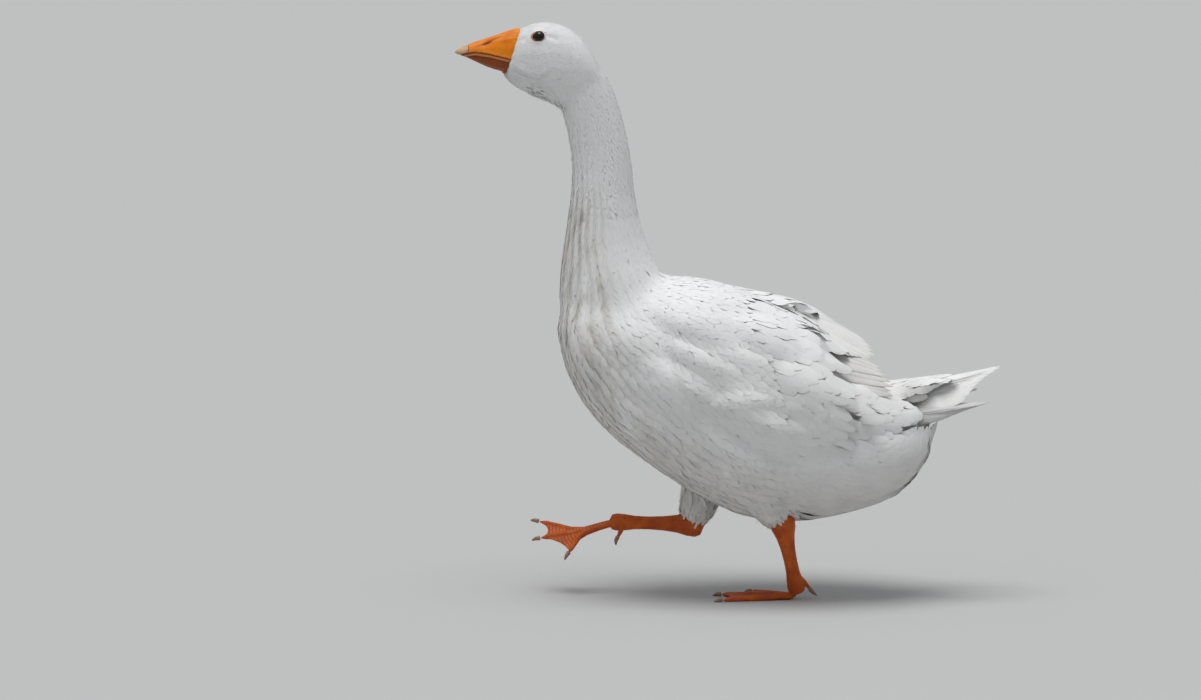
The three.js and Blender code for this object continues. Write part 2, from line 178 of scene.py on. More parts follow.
def ripple(points, size, seed, rounds=5):
    """A smooth pattern from -1 to 1 whose waves are about the given size."""
    rng = np.random.default_rng(seed)
    total = np.zeros(len(points))
    for _ in range(rounds):
        way = unit(rng.normal(size=3)) * (2 * math.pi / size) * rng.uniform(0.7, 1.4)
        total += np.sin(points @ way + rng.uniform(0, 2 * math.pi))
    return total / math.sqrt(rounds * 2) * 0.9


def curve_through(points, count):
    """Evenly spaced points on a smooth curve through the given ones, and its length."""
    points = np.asarray(points, float)
    ends = np.vstack([2 * points[0] - points[1], points, 2 * points[-1] - points[-2]])
    fine = []
    for i in range(len(points) - 1):
        a, b, c, d = ends[i : i + 4]
        for t in np.linspace(0, 1, 24, endpoint=False):
            square = (2 * a - 5 * b + 4 * c - d) * t**2
            cube = (3 * b - a - 3 * c + d) * t**3
            fine.append(0.5 * (2 * b + (c - a) * t + square + cube))
    fine.append(points[-1])
    fine = np.array(fine)
    run = np.r_[0, np.cumsum(np.linalg.norm(np.diff(fine, axis=0), axis=1))]
    at = np.linspace(0, run[-1], count)
    return np.stack([np.interp(at, run, fine[:, k]) for k in range(fine.shape[1])], 1), run[-1]


SPINE_POINTS, SPINE_LENGTH = curve_through(SPINE, SPINE_STEPS)
SPINE_RUN = np.linspace(0, SPINE_LENGTH, SPINE_STEPS)
SPINE_WAY = unit(np.gradient(SPINE_POINTS, axis=0))


def square_gaps(points, line):
    """Squares of the distances, seen from the side, between points and the points of a line of x and z."""
    return (points[:, None, 0] - line[None, :, 0]) ** 2 + (points[:, None, 2] - line[None, :, 1]) ** 2


def chart(points):
    """Where points lie on the goose: distance along the spine, angle round it from the belly's middle
    line (right side positive), distance from it, and the spine's direction there."""
    run = np.empty(len(points))
    for first in range(0, len(points), BATCH):
        d2 = square_gaps(points[first : first + BATCH], SPINE_POINTS)
        share = np.exp(-(d2 - d2.min(1, keepdims=True)) / (2 * BLEND**2))
        run[first : first + BATCH] = (share * SPINE_RUN).sum(1) / share.sum(1)
    base = np.stack([np.interp(run, SPINE_RUN, SPINE_POINTS[:, k]) for k in (0, 1)], 1)
    way = unit(np.stack([np.interp(run, SPINE_RUN, SPINE_WAY[:, k]) for k in (0, 1)], 1))
    off = points[:, [0, 2]] - base
    belly = off[:, 0] * way[:, 1] - off[:, 1] * way[:, 0]
    return run, np.arctan2(points[:, 1], belly), np.hypot(points[:, 1], belly), way


def coat_at(run, column):
    """A column of the coat's table at distances along the spine, in metres."""
    table = np.array(COAT)
    return np.interp(run, table[:, 0], table[:, column]) / 1000


def coat_depth(points, run):
    """How deep the skin lies under the coat: little where the face meets the bill and at the tail's root."""
    x, z = points[:, 0], points[:, 2]
    behind = smoothstep(x - face_line(z), 0.0, 0.007)
    tail = smoothstep(x, 0.210, 0.258) * smoothstep(z, 0.225, 0.245)
    return coat_at(run, 1) * np.where(z > 0.655, lerp(0.35, 1.0, behind), 1.0) * lerp(1.0, 0.3, tail)


def eye_frame(side):
    """The middle of an eyeball and the way it looks, on the left (-1) or the right (1)."""
    axis = unit(np.array((EYE_AXIS[0], side * EYE_AXIS[1], EYE_AXIS[2])))
    return np.array((EYE[0], side * EYE[1], EYE[2])), axis


def round_eye(points, side):
    """Height of points over the middle of an eyeball, distance from its axis, and how far in front of it."""
    centre, axis = eye_frame(side)
    off = points - centre
    rise = off @ axis
    off = off - rise[:, None] * axis
    out = np.linalg.norm(off, axis=1)
    return rise, out, np.clip(-off[:, 0] / np.maximum(out, 1e-6), 0, 1)


# ------------------------------------------------------------ surfaces


class Surface:
    """A closed mesh of quads with its neighbours, normals and a search for the nearest point."""

    def __init__(self, points, quads):
        self.points, self.quads = points, quads
        pairs = np.sort(np.concatenate([quads[:, [k, (k + 1) % 4]] for k in range(4)]), 1)
        self.edges = np.unique(pairs, axis=0)
        self.degree = np.bincount(self.edges.ravel(), minlength=len(points))[:, None]

    def mean(self, values):
        """The mean of each vertex's neighbours."""
        a, b = self.edges.T
        n = len(values)
        total = [np.bincount(a, v[b], n) + np.bincount(b, v[a], n) for v in values.T]
        return np.stack(total, 1) / np.maximum(self.degree, 1)

    def smooth(self, values, rounds, keep_size=True):
        """Values evened out over the mesh, swollen back after each round to keep their size."""
        for _ in range(rounds):
            values = values + 0.5 * (self.mean(values) - values)
            if keep_size:
                values = values - 0.52 * (self.mean(values) - values)
        return values

    def normals(self, points=None):
        """Normals at the vertices, for its own points or for others in their place."""
        p = self.points if points is None else points
        a, b, c, d = (p[self.quads[:, k]] for k in range(4))
        face = np.cross(c - a, d - b)
        n = len(p)
        total = np.zeros((n, 3))
        for k in range(4):
            for axis in range(3):
                total[:, axis] += np.bincount(self.quads[:, k], face[:, axis], n)
        return unit(total)

    def ready(self):
        """Sets up the normals, the ones for shade and for lie, and the search."""
        self.normal = self.normals()
        self.soft = self.tilt = self.normal
        self.tree = BVHTree.FromPolygons(self.points.tolist(), self.quads.tolist())

    def nearest(self, points):
        """The nearest places on the mesh to points, with the three kinds of normals there."""
        near = self.tree.find_nearest
        found = [near(p)[::2] for p in points.tolist()]
        place = np.array([f[0][:] for f in found])
        corners = self.quads[np.array([f[1] for f in found])]
        gap = np.linalg.norm(self.points[corners] - place[:, None], axis=2) + 1e-5
        share = (1 / gap**2)[..., None]
        return place, *(unit((n[corners] * share).sum(1)) for n in (self.normal, self.soft, self.tilt))


def mesh_from(shape, name):
    """A mesh from a bmesh, which is freed."""
    mesh = bpy.data.meshes.new(name)
    shape.to_mesh(mesh)
    shape.free()
    return mesh


def placed(name, data):
    """An object in the scene."""
    thing = bpy.data.objects.new(name, data)
    bpy.context.scene.collection.objects.link(thing)
    return thing


def node_mesh(names):
    """One bmesh of copies of CAD nodes."""
    whole = bmesh.new()
    for name in names:
        piece = bmesh.new()
        piece.from_mesh(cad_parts[name].data)
        bmesh.ops.remove_doubles(piece, verts=piece.verts, dist=1e-6)
        copy = mesh_from(piece, "copy")
        whole.from_mesh(copy)
        bpy.data.meshes.remove(copy)
    return whole


def remeshed(whole, size):
    """The outside of a bmesh as an even mesh of quads."""
    mesh = mesh_from(whole, "coarse")
    holder = placed("coarse", mesh)
    remesh = holder.modifiers.new("Remesh", "REMESH")
    remesh.mode, remesh.voxel_size = "VOXEL", size
    even = bpy.data.meshes.new_from_object(holder.evaluated_get(bpy.context.evaluated_depsgraph_get()))
    points = np.empty(len(even.vertices) * 3)
    even.vertices.foreach_get("co", points)
    corners = np.empty(len(even.loops), int)
    even.loops.foreach_get("vertex_index", corners)
    if len(corners) != 4 * len(even.polygons):
        raise RuntimeError("the even mesh has faces that aren't quads")
    bpy.data.objects.remove(holder)
    bpy.data.meshes.remove(mesh)
    bpy.data.meshes.remove(even)
    return Surface(points.reshape(-1, 3), corners.reshape(-1, 4))


def mesh_object(name, points, corners, starts, attributes=None, maps=None):
    """A smooth mesh object from arrays: face corners, and where each face starts in them."""
    mesh = bpy.data.meshes.new(name)
    mesh.vertices.add(len(points))
    mesh.vertices.foreach_set("co", np.ascontiguousarray(points, np.float32).ravel())
    mesh.loops.add(len(corners))
    mesh.loops.foreach_set("vertex_index", np.ascontiguousarray(corners, np.int32))
    mesh.polygons.add(len(starts))
    mesh.polygons.foreach_set("loop_start", np.ascontiguousarray(starts, np.int32))
    mesh.update(calc_edges=True)
    mesh.polygons.foreach_set("use_smooth", np.ones(len(starts), bool))
    for key, values in (attributes or {}).items():
        mesh.attributes.new(key, "FLOAT", "POINT").data.foreach_set("value", np.asarray(values, np.float32))
    for key, uv in (maps or {}).items():
        mesh.uv_layers.new(name=key).data.foreach_set("uv", np.asarray(uv[corners], np.float32).ravel())
    mesh.validate()
    return placed(name, mesh)


def quad_object(name, part, attributes=None):
    """A smooth mesh object from a surface of quads."""
    return mesh_object(name, part.points, part.quads.ravel(), even_starts(len(part.quads), 4), attributes)


def even_starts(count, sides):
    """Where faces start in the list of corners when all have as many sides."""
    return np.arange(0, count * sides, sides)


def settle(thing, material, slot, *nodes):
    """Finishes a piece: its material, the body it rides on and the nodes it stands for. Its slot is not used.
    """
    if material is not None:
        thing.data.materials.clear()
        thing.data.materials.append(material)
    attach(thing, BODY)
    if nodes:
        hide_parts(*nodes)


# ------------------------------------------------------------ the goose's form

form = {}  # the outside of the plumage and the points of the skin, once shape_goose has run


def swell(points, normal):
    """How far the soft swells of the plumage raise its outside."""
    total = np.zeros(len(points))
    for x, z, long, up, down, tilt, height in SWELLS:
        for side in (-1, 1):
            shift = 0.0 if side < 0 else 0.008 * math.sin(90 * x + 40 * z)  # so that the sides differ
            a = math.radians(tilt)
            u = points[:, 0] - x - shift
            v = points[:, 2] - z
            along = (u * math.cos(a) - v * math.sin(a)) / long
            across = u * math.sin(a) + v * math.cos(a)
            r2 = along**2 + (across / np.where(across > 0, up, down)) ** 2
            share = smoothstep(normal[:, 1] * side, 0.15, 0.5)
            total += share * height / SWELL_UNITS * np.clip(1 - r2, 0, 1) ** 1.6
    near = (points[:, 0] < -0.19) & (points[:, 2] > 0.64)  # the head
    for line, wide, deep, puff in FOLDS:
        gap, above, fade = beside(points[near], line)
        bulge = puff * np.exp(-(((above - 2.2 * wide / 1000) / (wide / 600)) ** 2))
        dent = deep * np.exp(-((gap * 1000 / wide) ** 2))
        total[near] += (bulge - dent) / 1000 * fade * smoothstep(np.abs(normal[near, 1]), 0.2, 0.6)
    return total


def beside(points, line):
    """Distance of points from a line of x and z, height above it, and a fade towards its ends."""
    line, _ = curve_through(line, 40)
    d2 = square_gaps(points, line)
    k = d2.argmin(1)
    t = k / (len(line) - 1)
    return np.sqrt(d2.min(1)), points[:, 2] - line[k, 1], np.clip(np.minimum(t, 1 - t) * 6 + 0.15, 0, 1)


def furrow(run, angle):
    """The furrows down the neck, breast and belly: depth below the outside, and the way to the next crest.
    The body has about twice as many round it as the neck."""
    wave = 1.1 * np.sin(run * 31 + 2 * np.sin(angle)) + 0.7 * np.sin(run * 67 + 3 * angle)
    fine = smoothstep(run, 0.36, 0.47)
    furrows = np.array([27, 58])
    phase = np.stack([furrows[0] * angle + wave, furrows[1] * angle + 2 * wave], 1)
    weight = np.stack([1 - fine, fine], 1)
    front = 1 - smoothstep(np.abs(angle), 0.7, 2.2)
    strength = smoothstep(run, 0.13, 0.30) * lerp(0.18, 1.0, front)
    strength = strength * np.where(run > 0.42, lerp(1.0, front, smoothstep(run, 0.42, 0.5)), 1.0)
    strength = strength * (1 - smoothstep(run, 0.62, 0.72)) * lerp(1.0, 0.5, smoothstep(run, 0.40, 0.50))
    deep = ((0.5 - 0.5 * np.cos(phase)) * weight).sum(1) * strength
    turn = (-np.sin(phase) / furrows * weight).sum(1) * strength
    return deep, turn


def soil_and_shade_at(points):
    """How far the plumage is darkened to tan and grey: dirt on the lower neck's front, the hind coverts and
    the tail's root, dirt with painted shade on the underside, and a faint darkening of the flank."""
    run, angle, _, _ = chart(points)
    side = np.abs(angle)
    blotch = 0.5 + 0.5 * ripple(points * [1, 1, 0.45], 0.035, 5)
    fine = 0.5 + 0.5 * ripple(points * [1, 1, 0.3], 0.011, 6)
    neck = smoothstep(run, 0.225, 0.29) * (1 - smoothstep(run, 0.38, 0.50)) * (1 - smoothstep(side, 1.1, 1.9))
    # on the underside the darkening is partly dirt and partly painted shade
    under = smoothstep(run, 0.38, 0.50) * (1 - smoothstep(side, 0.45, 1.35))
    x, z = points[:, 0], points[:, 2]
    hind, root, flank = (
        np.exp(-(((x - u) / long) ** 2) - ((z - v) / tall) ** 2)
        for u, long, v, tall in (
            (0.165, 0.07, 0.275, 0.045), (0.228, 0.020, 0.266, 0.013), (0.02, 0.10, 0.262, 0.045),
        )
    )
    soil_and_shade = 1.25 * neck * blotch**0.8 * (0.35 + 0.65 * fine)
    soil_and_shade += 0.95 * under * (0.55 + 0.45 * blotch) + 0.42 * hind * (0.4 + 0.6 * blotch) + 0.8 * root
    soil_and_shade += (0.10 + 0.30 * flank) * (0.3 + 0.7 * blotch) * (0.5 + 0.5 * fine) * smoothstep(run, 0.42, 0.55)
    return np.clip(soil_and_shade, 0, 1)


def thigh_share(points):
    """How far points belong to a thigh below the belly, and the way down it."""
    share = np.zeros(len(points))
    way = np.zeros((len(points), 3))
    for hip, hock in THIGHS.values():
        hip, hock = np.array(hip), np.array(hock)
        line = hock - hip
        t = np.clip(((points - hip) @ line) / (line @ line), 0, 1)
        off = np.linalg.norm(points - hip - t[:, None] * line, axis=1)
        near = (1 - smoothstep(off, 0.040 * (1 - 0.55 * t), 0.046 * (1 - 0.5 * t))) * smoothstep(t, 0.3, 0.62)
        near *= 1 - smoothstep(points[:, 2], 0.128, 0.15)
        share = np.maximum(share, near)
        way[near > 0.02] = unit(line)
    return share, way


def wing_share(points):
    """How far points belong to the part of a folded wing that long coverts lie over."""
    x, z, side = points[:, 0], points[:, 2], np.abs(points[:, 1])
    low = np.interp(x, (0.03, 0.08, 0.15), (0.262, 0.222, 0.214))
    high = np.interp(x, (0.03, 0.08, 0.14, 0.20), (0.392, 0.372, 0.345, 0.315))
    share = smoothstep(x - 0.35 * (0.30 - z), 0.020, 0.045) * smoothstep(z, low - 0.008, low + 0.008)
    return share * (1 - smoothstep(z, high, high + 0.015)) * smoothstep(side, 0.020, 0.032)


def dress(surface):
    """Gives a surface the normals of its swells, with the furrows for shade and without them for the lie of
    the feathers, and returns the height of the swells and the depth of the furrows."""
    run, angle, _, _ = chart(surface.points)
    raise_by = swell(surface.points, surface.normal)
    deep, _ = furrow(run, angle)
    surface.soft = surface.normals(surface.points + surface.normal * (raise_by - 0.0016 * deep)[:, None])
    surface.tilt = surface.normals(surface.points + surface.normal * raise_by[:, None])
    return raise_by, deep


def shape_goose():
    """The smooth outside of the plumage from the CAD nodes, and the skin below it."""
    whole = node_mesh(FLESH)
    for side in (-1, 1):
        # the socket of the CAD's eye, filled so that the lids lie on the skin
        bmesh.ops.create_icosphere(
            whole, subdivisions=4, radius=EYE_RADIUS + 0.0006, matrix=Matrix.Translation(eye_frame(side)[0])
        )
    for front, back in TAIL_ROOT:
        rump = bmesh.ops.create_cone(whole, cap_ends=True, segments=32, radius1=1.0, radius2=1.0, depth=1.0)
        for v in rump["verts"]:
            x, z, wide, tall = (lerp(a, b, v.co.z + 0.5) for a, b in zip(front, back))
            v.co = Vector((x, v.co.x * wide, z + v.co.y * tall))
        bmesh.ops.recalc_face_normals(whole, faces=list({f for v in rump["verts"] for f in v.link_faces}))
    outside = remeshed(whole, BODY_QUAD)
    outside.points = outside.smooth(outside.points, 26)
    # the neck goes over into the body in a soft curve, and swells a little there
    run = chart(outside.points)[0]
    share = np.exp(-(((run - 0.415) / 0.045) ** 2))[:, None]
    for _ in range(70):
        outside.points = outside.points + share * 0.5 * (outside.mean(outside.points) - outside.points)
    outside.points = outside.points + outside.normals() * 0.0012 * share
    outside.ready()
    depth = coat_depth(outside.points, chart(outside.points)[0])
    depth = lerp(depth, THIGH_DEPTH, thigh_share(outside.points)[0])
    bare = np.ones(len(depth))
    for _, hock in THIGHS.values():
        gap = np.linalg.norm(outside.points - np.array(hock), axis=1)
        bare = np.minimum(bare, lerp(0.3, 1.0, smoothstep(gap, 0.016, 0.035)))
    depth = outside.smooth((depth * bare)[:, None], 6, False)[:, 0]
    normal = outside.smooth(outside.normal, 3, False)
    raise_by, deep = dress(outside)
    skin = outside.points + unit(normal) * (0.6 * raise_by - depth - 0.0006 * deep)[:, None]
    form.update(outside=outside, skin=outside.smooth(skin, 2))


# ------------------------------------------------------------ materials


def material_with(name, **values):
    """A material with its node tree and shader, and values for the shader's sockets."""
    made = bpy.data.materials.new(name)
    made.use_nodes = True
    shader = made.node_tree.nodes["Principled BSDF"]
    for socket, value in values.items():
        shader.inputs[socket.replace("_", " ")].default_value = value
    return made, made.node_tree, shader


def colour4(value):
    """A colour with its alpha."""
    return (*value[:3], 1.0)


def reads(tree, name):
    """The values of an attribute of the mesh."""
    node = tree.nodes.new("ShaderNodeAttribute")
    node.attribute_name = name
    return node.outputs["Fac"]


def math_node(tree, kind, a, b=None, clamp=False):
    """One calculation with values or value sockets."""
    node = tree.nodes.new("ShaderNodeMath")
    node.operation, node.use_clamp = kind, clamp
    for socket, value in zip(node.inputs, (a, b)):
        if value is None:
            continue
        if isinstance(value, (int, float)):
            socket.default_value = value
        else:
            tree.links.new(value, socket)
    return node.outputs[0]


def spread(tree, value, low, high, to_low=0.0, to_high=1.0):
    """A value's range from low to high, stretched over another range."""
    node = tree.nodes.new("ShaderNodeMapRange")
    for key, number in (("From Min", low), ("From Max", high), ("To Min", to_low), ("To Max", to_high)):
        node.inputs[key].default_value = number
    tree.links.new(value, node.inputs["Value"])
    return node.outputs["Result"]


def mixed(tree, share, a, b):
    """Two colours or colour sockets, mixed by a share."""
    node = tree.nodes.new("ShaderNodeMix")
    node.data_type = "RGBA"
    if isinstance(share, (int, float)):
        node.inputs["Factor"].default_value = share
    else:
        tree.links.new(share, node.inputs["Factor"])
    for key, value in ((6, a), (7, b)):
        if hasattr(value, "is_linked"):
            tree.links.new(value, node.inputs[key])
        else:
            node.inputs[key].default_value = colour4(value)
    return node.outputs[2]


def object_noise(tree, scale, detail=3.0, stretch=None, kind="ShaderNodeTexNoise"):
    """Noise, or cells, in the object's own coordinates."""
    place = tree.nodes.new("ShaderNodeTexCoord")
    node = tree.nodes.new(kind)
    node.inputs["Scale"].default_value = scale
    if kind == "ShaderNodeTexNoise":
        node.inputs["Detail"].default_value = detail
    source = place.outputs["Object"]
    if stretch:
        turn = tree.nodes.new("ShaderNodeMapping")
        turn.inputs["Scale"].default_value = stretch
        tree.links.new(source, turn.inputs["Vector"])
        source = turn.outputs["Vector"]
    tree.links.new(source, node.inputs["Vector"])
    return node.outputs["Distance" if kind == "ShaderNodeTexVoronoi" else "Fac"]


def bumped(tree, shader, height, distance, strength=1.0):
    """Fine relief on a shader."""
    node = tree.nodes.new("ShaderNodeBump")
    node.inputs["Distance"].default_value = distance
    node.inputs["Strength"].default_value = strength
    tree.links.new(height, node.inputs["Height"])
    tree.links.new(node.outputs["Normal"], shader.inputs["Normal"])


def plumage_material(look):
    """White feathers: greyer at their bases, tan with dirt, with painted shade on the underside, a little
    different from one to the next.
    """
    made, tree, shader = material_with(
        "goose_plumage", Roughness=0.82, Sheen_Weight=0.12, Sheen_Roughness=0.5, Specular_IOR_Level=0.25
    )
    soil_and_shade, tone, along, darkening = (reads(tree, k) for k in ("soil_and_shade", "tone", "along", "darkening"))
    cloud = spread(tree, object_noise(tree, 34.0, 4.0), 0.35, 0.65)
    base = mixed(tree, spread(tree, along, 0.1, 0.6), look.downy, look.plumage)
    soil_and_shade_colour = mixed(tree, spread(tree, cloud, 0.0, 1.0), look.soil_and_shade, look.grey)
    share = math_node(tree, "MULTIPLY", soil_and_shade, spread(tree, cloud, 0.0, 1.0, 0.55, 1.0), True)
    base = mixed(tree, share, base, soil_and_shade_colour)
    # dark tufts on the throat, and painted shade along the rims of the long feathers
    base = mixed(tree, darkening, base, look.dark_streak)
    toned = mixed(tree, spread(tree, tone, 0.0, 1.0), (0.95, 0.95, 0.955), (1.0, 1.0, 1.0))
    final = tree.nodes.new("ShaderNodeMix")
    final.data_type, final.blend_type = "RGBA", "MULTIPLY"
    final.inputs["Factor"].default_value = 1.0
    tree.links.new(base, final.inputs[6])
    tree.links.new(toned, final.inputs[7])
    tree.links.new(final.outputs[2], shader.inputs["Base Color"])
    barbs = math_node(tree, "SINE", math_node(tree, "MULTIPLY", reads(tree, "barbs"), 2 * math.pi))
    relief = math_node(tree, "ADD", object_noise(tree, 900.0, 2.0), math_node(tree, "MULTIPLY", barbs, 0.35))
    bumped(tree, shader, relief, 0.0002, 0.3)
    return made


def leg_material(look):
    """Orange scaly skin: small scales all over, wide ones down the shank's front and the toes' tops."""
    made, tree, shader = material_with("leg_scales", Roughness=0.5, Specular_IOR_Level=0.3)
    scute, lines = reads(tree, "scute"), reads(tree, "lines")
    cells = object_noise(tree, 560.0, kind="ShaderNodeTexVoronoi")
    cloud = object_noise(tree, 60.0, 4.0)
    warm = mixed(tree, spread(tree, cloud, 0.35, 0.65), look.leg, look.leg_dark)
    seams = math_node(tree, "MULTIPLY", spread(tree, cells, 0.45, 0.75), 0.45)
    warm = mixed(tree, seams, warm, (0.30, 0.06, 0.012))
    bands = spread(tree, math_node(tree, "ABSOLUTE", math_node(tree, "SINE", lines)), 0.0, 0.3)
    gaps = math_node(tree, "MULTIPLY", math_node(tree, "SUBTRACT", 1.0, bands), scute, True)
    warm = mixed(tree, math_node(tree, "MULTIPLY", gaps, 0.55), warm, (0.28, 0.06, 0.015))
    tree.links.new(warm, shader.inputs["Base Color"])
    low_cells, low_gaps = math_node(tree, "MULTIPLY", cells, -0.5), math_node(tree, "MULTIPLY", gaps, 0.8)
    bumped(tree, shader, math_node(tree, "SUBTRACT", low_cells, low_gaps), 0.0008, 0.8)
    return made


def lid_material(look):
    """Bare brown rim, orange at the front corner, going over into white down."""
    made, tree, shader = material_with("eyelid_skin", Roughness=0.5)
    cloud = object_noise(tree, 500.0, 2.0)
    bare = mixed(tree, spread(tree, reads(tree, "scute"), 0.1, 0.6), look.lid, look.lid_corner)
    bare = mixed(tree, spread(tree, cloud, 0.3, 0.7, 0.0, 0.35), bare, [0.5 * c for c in look.lid])
    tree.links.new(mixed(tree, reads(tree, "lines"), bare, look.downy), shader.inputs["Base Color"])
    bumped(tree, shader, cloud, 0.0002, 0.5)
    return made


def bill_material(name, base, shade, look):
    """Smooth waxy horn with faint streaks, and painted shade in the hollows, grooves and seams that the lines
    attribute marks.
    """
    made, tree, shader = material_with(name, Roughness=0.42, Specular_IOR_Level=0.28)
    lines, pale = reads(tree, "lines"), reads(tree, "pale")
    cloud = object_noise(tree, 70.0, 4.0, (1.0, 1.0, 2.5))
    colour = mixed(tree, spread(tree, cloud, 0.35, 0.68), base, shade)
    colour = mixed(tree, pale, colour, look.bill_pale)
    # painted shade in the hollows and seams that the lines attribute marks
    colour = mixed(tree, math_node(tree, "MULTIPLY", lines, 0.9), colour, look.bill_line)
    tree.links.new(colour, shader.inputs["Base Color"])
    grain = object_noise(tree, 420.0, 3.0, (0.5, 1.0, 1.4))
    bumped(tree, shader, grain, 0.00025, 0.5)
    return made


def horn_material(look):
    """Smooth claw horn with darker clouds."""
    made, tree, shader = material_with("claw_horn", Roughness=0.36)
    cloud = spread(tree, object_noise(tree, 260.0, 3.0), 0.3, 0.7)
    colour = mixed(tree, cloud, look.horn, [0.62 * c for c in look.horn])
    tree.links.new(colour, shader.inputs["Base Color"])
    bumped(tree, shader, object_noise(tree, 900.0, 2.0), 0.0002, 0.4)
    return made


def eye_material(look):
    """Wet and glossy, with a black pupil in a dark streaked iris."""
    made, tree, shader = material_with("wet_eye", Roughness=0.06, Specular_IOR_Level=0.32)
    pupil = spread(tree, reads(tree, "pupil"), 0.42, 0.52)
    streak = object_noise(tree, 900.0, 2.0)
    iris = mixed(tree, streak, look.eye, [1.9 * c for c in look.eye])
    tree.links.new(mixed(tree, pupil, (0.004, 0.004, 0.005), iris), shader.inputs["Base Color"])
    return made


# ------------------------------------------------------------ skin, legs and lids


def leg_surface(side):
    """One bare leg with its foot, and what marks its scales."""
    part = remeshed(node_mesh((f"{side}_shank", f"{side}_foot")), LEG_QUAD)
    part.points = part.smooth(part.points, 5)
    hock, joint = (np.array(p) for p in SHANKS[side])
    line = unit(joint - hock)
    long = np.linalg.norm(joint - hock)
    run = (part.points - hock) @ line
    front = np.array((-1.0, 0, 0.15)) if side == "left" else np.array((0.0, 0, 1.0))
    ahead = np.where((run > long - 0.004)[:, None], np.array((0, 0, 1.0)), front)
    normal = part.normals()
    scute = smoothstep((normal * ahead).sum(1), 0.25, 0.75)
    reach = np.where(run < long, run, long + np.linalg.norm(part.points - joint, axis=1))
    lines = reach * math.pi / SCUTE
    crease = scute * np.exp(-((np.sin(lines) / 0.28) ** 2))
    part.points = part.points - normal * (0.00022 * crease)[:, None]
    part.points[:, 2] = np.maximum(part.points[:, 2], 0.0)
    return part, scute, lines


def lid_points(side):
    """The eyelids: a rim spun round the eye's axis, close on the ball and drawn out to its corners."""
    rim = (  # distance from the axis and height over the ball's middle, from the outer edge to the inner one
        (0.0098, -0.0004), (0.0092, 0.0016), (0.0086, 0.0032), (0.0081, 0.0044), (0.0077, 0.0052),
        (0.0074, 0.0058), (0.0070, 0.0063), (0.0067, 0.0065), (0.0065, 0.0064), (0.0064, 0.0058),
    )
    shape = bmesh.new()
    verts = [shape.verts.new((r, 0, h)) for r, h in rim]
    edges = [shape.edges.new(pair) for pair in zip(verts, verts[1:])]
    bmesh.ops.spin(
        shape, geom=verts + edges, cent=(0, 0, 0), axis=(0, 0, 1), angle=2 * math.pi, steps=56, use_merge=True
    )
    centre, axis = (Vector(v) for v in eye_frame(side))
    ahead = Vector((-1, 0, -0.12))
    ahead = (ahead - axis * ahead.dot(axis)).normalized()
    over = axis.cross(ahead)
    if over.z < 0:
        over.negate()
    for v in shape.verts:
        r, turn = math.hypot(v.co.x, v.co.y), math.atan2(v.co.y, v.co.x)
        tall = 1 - 0.08 * abs(math.sin(turn)) ** 1.5
        corner = 0.0016 * max(0.0, math.cos(turn)) ** 6 + 0.0008 * max(0.0, -math.cos(turn)) ** 6
        h = v.co.z
        reach = r * tall
        if r < 0.0088:  # over the ball, so it stays as high over its surface
            ball = math.sqrt(max(EYE_RADIUS**2 - reach**2, 0))
            h = max(h, ball + (h - math.sqrt(EYE_RADIUS**2 - r**2)))
        flat = 1 - smoothstep(np.array([r]), 0.0070, 0.0105)[0]
        forward = reach * math.cos(turn) + corner * flat * math.copysign(1, math.cos(turn))
        v.co = centre + axis * h + ahead * forward + over * (reach * math.sin(turn))
    shape.normal_update()
    if sum(f.normal.dot(axis) * f.calc_area() for f in shape.faces) < 0:
        bmesh.ops.reverse_faces(shape, faces=shape.faces)
    return shape


def build_skin(look):
    """One skin over body, legs, feet and eyelids."""
    outside = form["outside"]
    parts = [(form["skin"], outside.quads, 0)]
    soil_and_shade = soil_and_shade_at(form["skin"])
    none = np.zeros(len(soil_and_shade))
    marks = {
        "soil_and_shade": [soil_and_shade], "tone": [none + 0.7], "along": [none + 0.45], "darkening": [none], "scute": [none],
        "lines": [none],
    }
    for side in ("left", "right"):
        leg, scute, lines = leg_surface(side)
        parts.append((leg.points, leg.quads, 1))
        for key in marks:
            marks[key].append({"scute": scute, "lines": lines}.get(key, np.zeros(len(scute))))
    for side in (-1, 1):
        shape = lid_points(side)
        shape.verts.index_update()
        points = np.array([v.co[:] for v in shape.verts])
        quads = np.array([[v.index for v in f.verts] for f in shape.faces])
        shape.free()
        parts.append((points, quads, 2))
        _, out, ahead = round_eye(points, side)
        ahead = ahead**3
        white = smoothstep(out, 0.0070 + 0.0020 * ahead, 0.0076 + 0.0026 * ahead)
        for key in marks:
            marks[key].append({"lines": white, "scute": ahead}.get(key, np.zeros(len(points))))
    points = np.vstack([p for p, _, _ in parts])
    base = np.cumsum([0] + [len(p) for p, _, _ in parts[:-1]])
    quads = np.vstack([q + b for (_, q, _), b in zip(parts, base)])
    marks = {key: np.concatenate(values) for key, values in marks.items()}
    skin = mesh_object("skin", points, quads.ravel(), even_starts(len(quads), 4), marks)
    settle(skin, None, "plumage", *FLESH, *LEGS)
    for finish in (plumage(look), leg_material(look), lid_material(look)):
        skin.data.materials.append(finish)
    finishes = np.concatenate([np.full(len(q), m) for _, q, m in parts])
    skin.data.polygons.foreach_set("material_index", finishes)


def plumage(look):
    """The one material of skin and feathers."""
    return bpy.data.materials.get("goose_plumage") or plumage_material(look)


# ------------------------------------------------------------ feathers

# Rings round a feather's middle line, over it and back below: shares of its half width and of its crown.
TUFT = ((-1.0, 0.0), (0.0, 1.0), (1.0, 0.0))
VANE = ((-1.0, 0.0), (-0.45, 0.85), (0.45, 0.85), (1.0, 0.0), (0.0, -0.5))
QUILL = (
    (-1.0, 0.0), (-0.5, 0.55), (-0.07, 0.8), (0.0, 1.5), (0.07, 0.8), (0.5, 0.55), (1.0, 0.0), (0.0, -0.6),
)
DROOP = 0.04  # how far the edges hang below the middle, as a share of the half width


